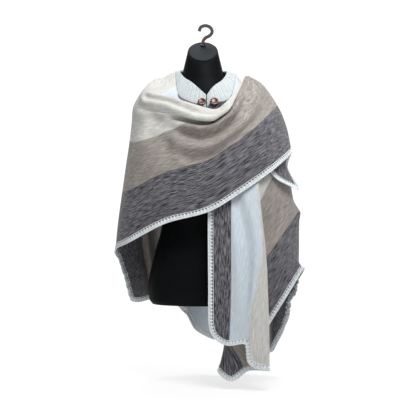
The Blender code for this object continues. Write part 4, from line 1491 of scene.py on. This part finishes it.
@dataclass
class DressForm:
    """The hanging form: a limbless shape, the plate that closes its slanted neck, and its hook."""

    sides: int = 96
    steps: int = 5  # rings between two rows of the table
    neck_steps: int = 8  # rings up the neck
    plate_wall: float = 0.003
    gap: float = 0.0004
    hook_width: float = 0.010
    hook_wall: float = 0.005
    hook_steps: int = 8
    hook_rounding: float = 0.0011
    nut_radius: float = 0.009
    nut_height: float = 0.006
    nut_rounding: float = 0.0007
    # The plate from its underside over its rim to its middle: cm inwards, and share of its wall up.
    plate: tuple[tuple[float, float], ...] = (
        (0.46, 0.0),
        (0.36, 0.12),
        (0.36, 0.7),
        (0.44, 0.94),
        (0.56, 1.0),
        (0.72, 1.0),
        (0.80, 0.86),
        (0.88, 0.86),
        (0.98, 0.98),
        (1.4, 1.0),
        (4.2, 1.0),
    )

    def ellipse(self, height: float, wide: float, deep: float, fall: float = 0.0) -> np.ndarray:
        """Points round the form, with sizes in cm.

        Args:
            height: of their middle.
            wide: half their width.
            deep: half their depth.
            fall: how far the front one lies below the middle.

        Returns:
            The points, in metres.
        """
        turn = np.linspace(0, 2 * math.pi, self.sides, endpoint=False)
        x, y = FORM_SIDE + wide * np.cos(turn), deep * np.sin(turn)
        return CM * np.stack([x, y, height + fall * np.sin(turn)], axis=1)

    def shell(self) -> bpy.types.Object:
        """Make the form itself.

        Returns:
            The piece.
        """
        top, table = np.array(NECK_TOP), np.array(FORM_RINGS)
        rings = []
        for part in np.linspace(0, 1, self.neck_steps, endpoint=False):
            rings.append(self.ellipse(*(top + (table[0] - top) * part), NECK_FALL * (1 - part)))
        knots = run_of(table)
        spans = zip(knots[:-1], knots[1:])
        at = np.concatenate([np.linspace(a, b, self.steps, endpoint=False) for a, b in spans])
        rows = blend_matrix(knots, np.append(at, knots[-1])) @ table
        rings += [self.ellipse(*row) for row in rows]
        return loft("form_shell", np.array(rings))

    def plate_up(self) -> np.ndarray:
        """The direction straight out of the neck's slanted top."""
        return unit(np.array([0.0, -NECK_FALL, NECK_TOP[2]]))

    def neck_disc(self) -> bpy.types.Object:
        """Make the plate on the neck's slanted top, with a groove inside its rim.

        Returns:
            The piece.
        """
        height, wide, deep = NECK_TOP
        rings = []
        for inset, rise in self.plate:
            shrink = 1 - inset / wide
            ring = self.ellipse(height, wide * shrink, deep * shrink, NECK_FALL * shrink)
            rings.append(ring + self.plate_up() * (self.gap + self.plate_wall * rise))
        return loft("neck_disc", np.array(rings))

    def hook(self) -> bpy.types.Object:
        """Make the bent flat bar.

        Returns:
            The piece.
        """
        line = np.array(HOOK_LINE) * CM
        places = np.linspace(0, len(line) - 1, self.hook_steps * len(line))
        fine = blend_matrix(np.arange(len(line)), places) @ line
        across = unit(np.gradient(fine, axis=0)) @ np.array([[0, 1], [-1, 0]])
        half, wall = self.hook_width / 2, self.hook_wall / 2
        rings = []
        for (x, z), (ax, az) in zip(fine, across):
            corners = ((-half, -wall), (half, -wall), (half, wall), (-half, wall))
            rings.append([(x + ax * a, HOOK_DEPTH * CM + y, z + az * a) for a, y in corners])
        bar = loft("hook_bar", np.array(rings))
        bevel = bar.modifiers.new("rounding", "BEVEL")
        bevel.width, bevel.segments = self.hook_rounding, 3
        return bar

    def nut(self) -> bpy.types.Object:
        """Make the nut that the hook stands in.

        Returns:
            The piece.
        """
        height, _, deep = NECK_TOP
        up, side = self.plate_up(), np.array([1.0, 0.0, 0.0])
        foot = np.array([HOOK_LINE[0][0], HOOK_DEPTH, height + NECK_FALL * HOOK_DEPTH / deep]) * CM
        place = frame_at(foot + up * (2 * self.gap + self.plate_wall), side, np.cross(up, side), up)
        bm = bmesh.new()
        size = {"radius1": self.nut_radius, "radius2": self.nut_radius, "depth": self.nut_height}
        bmesh.ops.create_cone(bm, cap_ends=True, segments=6, **size)
        bmesh.ops.translate(bm, verts=bm.verts, vec=(0, 0, self.nut_height / 2))
        rounding = {"offset": self.nut_rounding, "segments": 3, "profile": 0.5, "material": -1}
        bmesh.ops.bevel(bm, geom=bm.edges, affect="EDGES", **rounding)
        bmesh.ops.transform(bm, matrix=place, verts=bm.verts)
        return finish_mesh("hook_nut", bm)

    def build(self) -> bpy.types.Object:
        """Make and dress the form, its plate and its hook.

        Returns:
            The form.
        """
        shell = self.shell()
        black = MouldedPlastic("form_plastic", (0.0035, 0.004, 0.0045), (0.006, 0.0066, 0.0072), 0.46)
        grey = MouldedPlastic("plate_plastic", (0.018, 0.020, 0.022), (0.026, 0.030, 0.035), 0.5)
        steel = BlackedSteel().material()
        dress(shell, black.material(), Slot.PLASTIC, "form_torso")
        dress(self.neck_disc(), grey.material(), Slot.PLATE, "neck_plate")
        dress(self.hook(), steel, Slot.METAL, "hook")
        dress(self.nut(), steel, Slot.METAL)
        return shell


# Troughs and ridges laid on each width: height in m, half width in cm, then places across and along it in cm.
RIGHT_CREASES = creases(
    (-0.0070, 1.2, (21.0, 76), (22.4, 73.6), (21.9, 68.2), (23.0, 62.3), (23.8, 57.6), (24.2, 52)),
    (0.0060, 1.3, (24.0, 76), (24.2, 71.5), (24.5, 66.1), (25.5, 60.5), (26.6, 55), (26.8, 49), (26.3, 43),
     (25.4, 37)),
    (-0.0130, 1.7, (24.5, 78), (25.7, 71.1), (27.2, 66.4), (29.4, 61.2), (31.2, 56.4), (31.9, 52),
     (31.2, 47.4), (30.0, 41.6), (28.7, 36.6), (27.5, 31.8), (26.5, 26)),
    (-0.0065, 0.9, (31.6, 54), (31.2, 47.4), (30.0, 41.6), (28.9, 37.5)),
    (0.0085, 1.5, (28.5, 72), (30.2, 67), (32.4, 63.6), (34.4, 58.8), (35.2, 52.2), (35.2, 46.7),
     (33.6, 41.8), (31.4, 36.9), (29.4, 30.7)),
    (-0.0145, 1.8, (25.5, 81), (26.3, 78), (27.6, 71.5), (31.2, 66.3), (34.3, 61.6), (36.9, 57.3),
     (39.1, 53.1), (39.4, 49.1), (38.9, 45.2), (37.5, 42), (35.7, 38), (34.9, 33.2), (33.5, 28.1), (32, 22)),
    (0.0115, 2.2, (37.5, 63), (40.3, 58.4), (42.2, 54.5), (43.0, 50.4), (43.2, 46.4), (42.7, 42.5),
     (41.6, 38.7), (41.4, 33.4), (40.6, 29.5), (38.1, 24.3), (36.5, 20)),
    (-0.0060, 2.2, (42.0, 60), (45.0, 56.3), (46.3, 51.8), (47.4, 48), (47.6, 43)),
    (-0.0095, 2.0, (31, 72), (33.5, 69.7), (35.5, 66.6), (37.8, 64), (41.3, 62.9), (45, 62)),
    (0.0035, 2.6, (36, 74), (40, 70), (45, 67), (50, 66)),
    (-0.0050, 2.0, (45, 40), (46.5, 33), (46, 27), (43, 22)),
    (-0.0040, 3.0, (52, 80), (51, 70), (51.5, 60), (54, 50)),
    (0.0035, 3.0, (60, 78), (58, 66), (57, 54), (58, 42)),
    (-0.0035, 2.4, (56, 40), (55, 32), (54, 25)),
    (-0.0060, 2.6, (20, 84), (30, 86), (42, 88), (54, 91), (66, 95)),
    (0.0050, 2.8, (22, 92), (32, 95), (44, 99), (56, 104), (66, 110)),
    (-0.0056, 2.4, (5, 112), (5.4, 126), (5.0, 144), (5, 162), (5, 176)),
    (0.0056, 2.8, (13, 108), (13, 124), (12, 144), (12, 176)),
    (-0.0056, 2.4, (20, 110), (20.5, 128), (20, 148), (20, 176)),
    (0.0056, 2.6, (28, 112), (30, 126), (31, 146), (31, 176)),
    (-0.0064, 2.6, (38, 110), (41, 128), (42, 150), (42, 176)),
    (0.0056, 2.4, (47, 116), (48.5, 132), (49, 150), (49, 176)),
    (-0.0056, 2.2, (54, 118), (56, 134), (57, 152), (57, 176)),
)
LEFT_CREASES = creases(
    (-0.0075, 1.7, (6.5, 54), (7.6, 45), (8.9, 39), (9.6, 35.7), (10.5, 28.6), (11.5, 21.2), (12.2, 14),
     (12.6, 4)),
    (0.0030, 1.3, (6.2, 42), (6.9, 36), (7.4, 28), (7.8, 20), (8.2, 8)),
    (0.0035, 1.3, (13.0, 46), (13.6, 36), (14.2, 28), (14.8, 18), (15.2, 8)),
    (0.0016, 1.5, (2.8, 46), (3.0, 30), (2.8, 12)),
    (-0.0035, 2.0, (40, 52), (43, 42), (45, 32), (45, 22), (44, 12)),
    (0.0035, 2.2, (53, 46), (54, 38), (54, 28), (55, 16)),
    (0.0056, 2.6, (6, 112), (6, 130), (6, 150), (6, 176)),
    (-0.0056, 2.4, (15, 110), (15.6, 128), (16.5, 150), (16.8, 176)),
    (0.0048, 2.2, (22, 108), (22, 128), (22, 150), (22, 176)),
    (-0.0080, 3.0, (32, 98), (33, 122), (34, 146), (34, 176)),
    (0.0072, 3.0, (43, 92), (44, 112), (45, 136), (45, 176)),
    (-0.0064, 2.8, (56, 84), (55, 104), (55, 130), (55, 176)),
)


# Cloth turned in under the collar, and drawn aside or turned in the roll: cm along the width, cm taken up.
RIGHT_TUCK = (
    (58.0, 0.0),
    (64.0, 1.0),
    (70.0, 2.0),
    (73.5, 4.5),
    (76.0, 10.0),
    (78.5, 16.5),
    (84.0, 18.0),
    (93.0, 18.0),
    (99.0, 13.0),
    (104.0, 5.0),
    (109.0, 0.0),
)
RIGHT_DRAW = (
    (26.0, 0.0),
    (34.0, 2.4),
    (42.0, 3.0),
    (50.0, 2.8),
    (56.0, 1.4),
    (61.0, -0.4),
    (67.0, -1.4),
    (73.0, -1.0),
    (80.0, 0.0),
)
RIGHT_TURN = ((0.0, 6.0), (14.0, 9.0), (28.0, 10.0), (36.0, 8.0), (41.0, 4.0), (46.0, 1.5), (50.0, 0.0))
LEFT_TUCK = (
    (74.0, 0.0),
    (78.0, 5.5),
    (81.0, 11.0),
    (84.0, 16.5),
    (92.0, 17.0),
    (98.0, 12.0),
    (104.0, 4.0),
    (109.0, 0.0),
)
RIGHT_SLIPS = (Slip(0.0, 24.0, RIGHT_TUCK), Slip(34.0, 9.0, RIGHT_DRAW), Slip(27.0, 14.0, RIGHT_TURN))
LEFT_SLIPS = (Slip(0.0, 24.0, LEFT_TUCK),)


@dataclass
class Poncho:
    """The garment: its two widths, their crocheted borders, the seam, the collar and its buttons."""

    wall: float = 0.0018  # of the cloth
    flat: tuple[float, float] = (0.645, 1.70)
    shown: float = 0.72  # square metres of each width's cut that the modelled drape takes up
    collar_flat: tuple[float, float] = (0.065, 0.56)
    seam_pitch: float = 0.0075
    stitch: tuple[float, float, float] = (0.0075, 0.0017, 0.0042)
    stitch_turn: float = 0.5
    # Place of each button along the collar, from -1 to 1.
    buttons: tuple[tuple[str, float], ...] = (("button_right", -0.96), ("button_left", 0.94))
    right: LoomWidth = field(init=False)
    left: LoomWidth = field(init=False)

    def __post_init__(self) -> None:
        """Place both widths as they hang."""
        corners = (("side", "back"),)
        folds = (RIGHT_CREASES, RIGHT_SLIPS)
        self.right = LoomWidth(RIGHT_LINES, RIGHT_STATIONS, corners, *folds, facing=-1.0, seed=2.7)
        corners = (("opening", "front"), ("side", "front"))
        folds = (LEFT_CREASES, LEFT_SLIPS)
        self.left = LoomWidth(LEFT_LINES, LEFT_STATIONS, corners, *folds, facing=1.0, seed=8.1)
        self.wool = StripedWool().material()
        self.white = SpunYarn("white_yarn", (0.60, 0.64, 0.66), (0.80, 0.83, 0.845)).material()
        # shaded_yarn is the white yarn darkened as painted shade; it colours the strip in the crochet's
        # holes, the seam stitches and the button thread
        self.shade = SpunYarn("shaded_yarn", (0.44, 0.47, 0.485), (0.60, 0.625, 0.64)).material()
        self.knit = SpunYarn("knit_yarn", (0.30, 0.345, 0.375), (0.62, 0.65, 0.645), 0.0012, True).material()

    def seamed(self) -> np.ndarray:
        """Which rows of both widths are seamed to each other."""
        return self.left.v[:, 0] >= SEAM_START - CLOSE

    def close_seam(self) -> None:
        """Draw the left width to the right one, so that the two meet along the centre back."""
        rows, near = self.seamed(), SEAM_COLUMNS
        left, right = self.left.grid[rows], self.right.grid[rows]
        across = unit((left[:, near] - left[:, 0]) - (right[:, near] - right[:, 0]))
        shift = right[:, 0] + across * (SEAM_GAP + self.wall / 4) - left[:, 0]
        weight = np.clip(1 - self.left.u[0] / SEAM_REACH, 0, 1) ** 2
        self.left.grid[rows] += shift[:, None] * weight[None, :, None]

    def seam(self) -> bpy.types.Object:
        """Make the slanted stitches that join the widths down the centre back.

        Returns:
            The piece.
        """
        rows = self.seamed()
        right, left = self.right.grid[rows], self.left.grid[rows]
        middle = (right[:, 0] + left[:, 0]) / 2
        out = unit(left[:, STITCH_COLUMNS] - right[:, STITCH_COLUMNS])
        run = run_of(middle)
        at = np.arange(self.seam_pitch, run[-1], self.seam_pitch)
        lines = (middle, out, unit(np.gradient(middle, axis=0)))
        base, across, along = (read_at(at, run, line) for line in lines)
        up = unit(np.cross(along, across))
        across = np.cross(up, along)
        stitch, turn = bead(*self.stitch), Matrix.Rotation(self.stitch_turn, 4, "Z")
        places = zip(base, along, across, up)
        return strung("seam_stitches", [(stitch, frame_at(*place) @ turn) for place in places])

    def crochet(self, border: CrochetBorder, strip: np.ndarray, node: str) -> list[bpy.types.Object]:
        """Make and dress one run of edging.

        Args:
            border: its sizes and name.
            strip: its near and far edge.
            node: the CAD node that it replaces.

        Returns:
            Its two pieces.
        """
        stitches, shade_ground = border.stitches(strip), border.shade_ground_strip(strip)
        dress(stitches, self.white, Slot.CROCHET, node)
        # the strip behind the stitches takes the darker yarn, as painted shade in the stitches' holes
        dress(shade_ground, self.shade, Slot.CROCHET)
        return [stitches, shade_ground]

    def build(self, shell: bpy.types.Object) -> None:
        """Lay the cloth over the form and dress every piece.

        Args:
            shell: the form.
        """
        body = mesh_tree(shell)
        left, right = self.left, self.right
        left.grid = lay_over(left.grid, left.v > SKIRT, [body], OVER_FORM)
        right.grid = lay_over(right.grid, right.v >= 0, [body], OVER_FORM)
        self.close_seam()
        rings = KnitCollar().rings(right.neck(RIGHT_NECK), left.neck(LEFT_NECK))
        collar = KnitCollar().build(rings, self.knit)
        horn = PolishedHorn().material()
        for node, along in self.buttons:
            HornButton(node, along).build(rings, horn, self.shade)

        edge = CrochetBorder("crochet_left")
        left_strip = edge.strip(left.grid, left.border(LEFT_NECK[0]), [body])
        left_edging = self.crochet(edge, left_strip, "edging_left")
        left_cloth = left.sheet("cloth_left", self.wall)

        under = [tree_of(left.grid[left.v[:, 0] > SKIRT]), mesh_tree(collar), tree_of(left_strip)]
        front = right.v < CROSSED
        turned = right.v < ARM_FOLD
        right.grid = lay_over(right.grid, front & (turned | (right.u <= ROLL)), under, OVER_CLOTH)
        path = right.border(EDGING_START)
        hem = [int(np.argmin(np.abs(right.u[0] - place))) for place in HEM_BREAK]
        end_path = path[: path.index((0, hem[0])) + 1]
        outer_path = path[path.index((0, hem[1])) :]
        end_edge = CrochetBorder("crochet_end")
        end_strip = end_edge.strip(right.grid, end_path, under[:1])
        inner = [
            tree_of(end_strip),
            tree_of(right.grid[right.v[:, 0] < ARM_FOLD - FOLD_REACH]),
            tree_of(right.grid[:, right.u[0] <= TUCK]),
        ]
        outer = front & ~turned & (right.u > ROLL)
        right.grid = lay_over(right.grid, outer, under + inner, OVER_CLOTH)
        right_cloth = right.sheet("cloth_right", self.wall)
        right_edge = CrochetBorder("crochet_right")
        right_strip = right_edge.strip(right.grid, outer_path, [body, under[0]])
        right_edging = self.crochet(end_edge, end_strip, "edging_end")
        right_edging += self.crochet(right_edge, right_strip, "edging_right")
        seam = self.seam()
        dress(seam, self.shade, Slot.WOOL)
        dress(left_cloth, self.wool, Slot.WOOL, "left_width")
        dress(right_cloth, self.wool, Slot.WOOL, "right_width")


@dataclass
class Studio:
    """The pale floor and backdrop, the soft lights and the camera."""

    floor_height: float = -1.105
    sweep_start: float = 2.2
    sweep_radius: float = 1.2
    wall_height: float = 4.0
    half_width: float = 6.0
    front: float = -6.0
    sweep_steps: int = 16
    camera_place: tuple[float, float, float] = (0.009, -3.0, -0.564)
    focal_mm: float = 83.7
    sensor_mm: float = 36.0
    air: tuple[float, float, float, float] = (0.95, 0.98, 1.0, 1.0)
    air_strength: float = 0.18
    # Each lamp: name, where it stands, the point it faces, side in metres, watts, colour.
    lamps: tuple[tuple, ...] = (
        ("key_lamp", (0.35, -1.05, 0.6), (0.0, -0.1, -0.3), 0.7, 22.5, (1.0, 0.99, 0.98)),
        ("top_lamp", (0.25, -1.1, 1.75), (0.0, 0.0, -0.3), 0.8, 10.0, (0.97, 0.99, 1.0)),
        ("wall_lamp", (0.0, 1.0, 2.2), (0.0, 3.4, -0.3), 2.0, 90.0, (1.0, 1.0, 1.0)),
    )

    def backdrop(self) -> None:
        """The floor, swept up into a wall behind."""
        line = [(self.front, self.floor_height)]
        for turn in np.linspace(0, math.pi / 2, self.sweep_steps + 1):
            y = self.sweep_start + self.sweep_radius * math.sin(turn)
            line.append((y, self.floor_height + self.sweep_radius * (1 - math.cos(turn))))
        line.append((self.sweep_start + self.sweep_radius, self.floor_height + self.wall_height))
        sides = np.linspace(-self.half_width, self.half_width, 3)
        rings = np.array([[(x, y, z) for x in sides] for y, z in line])
        piece = loft("studio_sweep", rings, closed=False)
        piece.data.materials.append(MattPaint().material())

    def lamp(
        self, name: str, place: tuple, aim: tuple, size: float, watts: float, colour: tuple
    ) -> None:
        """An area light.

        Args:
            name: its name.
            place: where it stands.
            aim: the point it faces.
            size: its side in metres.
            watts: its power.
            colour: its colour.
        """
        data = bpy.data.lights.new(name, "AREA")
        data.shape = "SQUARE"
        data.size = size
        data.energy = watts
        data.color = colour
        lamp = bpy.data.objects.new(name, data)
        lamp.location = place
        lamp.rotation_euler = (Vector(aim) - Vector(place)).to_track_quat("-Z", "Y").to_euler()
        bpy.context.scene.collection.objects.link(lamp)

    def build(self) -> None:
        """Set up the stage, the lights and the camera."""
        self.backdrop()
        scene = bpy.context.scene
        world = bpy.data.worlds.new("studio_air")
        world.use_nodes = True
        sky = world.node_tree.nodes["Background"].inputs
        sky["Color"].default_value, sky["Strength"].default_value = self.air, self.air_strength
        scene.world = world
        for row in self.lamps:
            self.lamp(*row)
        scene.view_settings.view_transform = "Standard"
        data = bpy.data.cameras.new("view_camera")
        data.lens = self.focal_mm
        data.sensor_width = self.sensor_mm
        camera = bpy.data.objects.new("view_camera", data)
        camera.location = self.camera_place
        camera.rotation_euler = (math.pi / 2, 0.0, 0.0)
        scene.collection.objects.link(camera)
        scene.camera = camera


def main() -> None:
    """Build the studio, the form and the garment."""
    logging.basicConfig(level=logging.INFO, format="%(name)s: %(message)s")
    Studio().build()
    shell = DressForm().build()
    Poncho().build(shell)


if __name__ == "__main__":
    main()
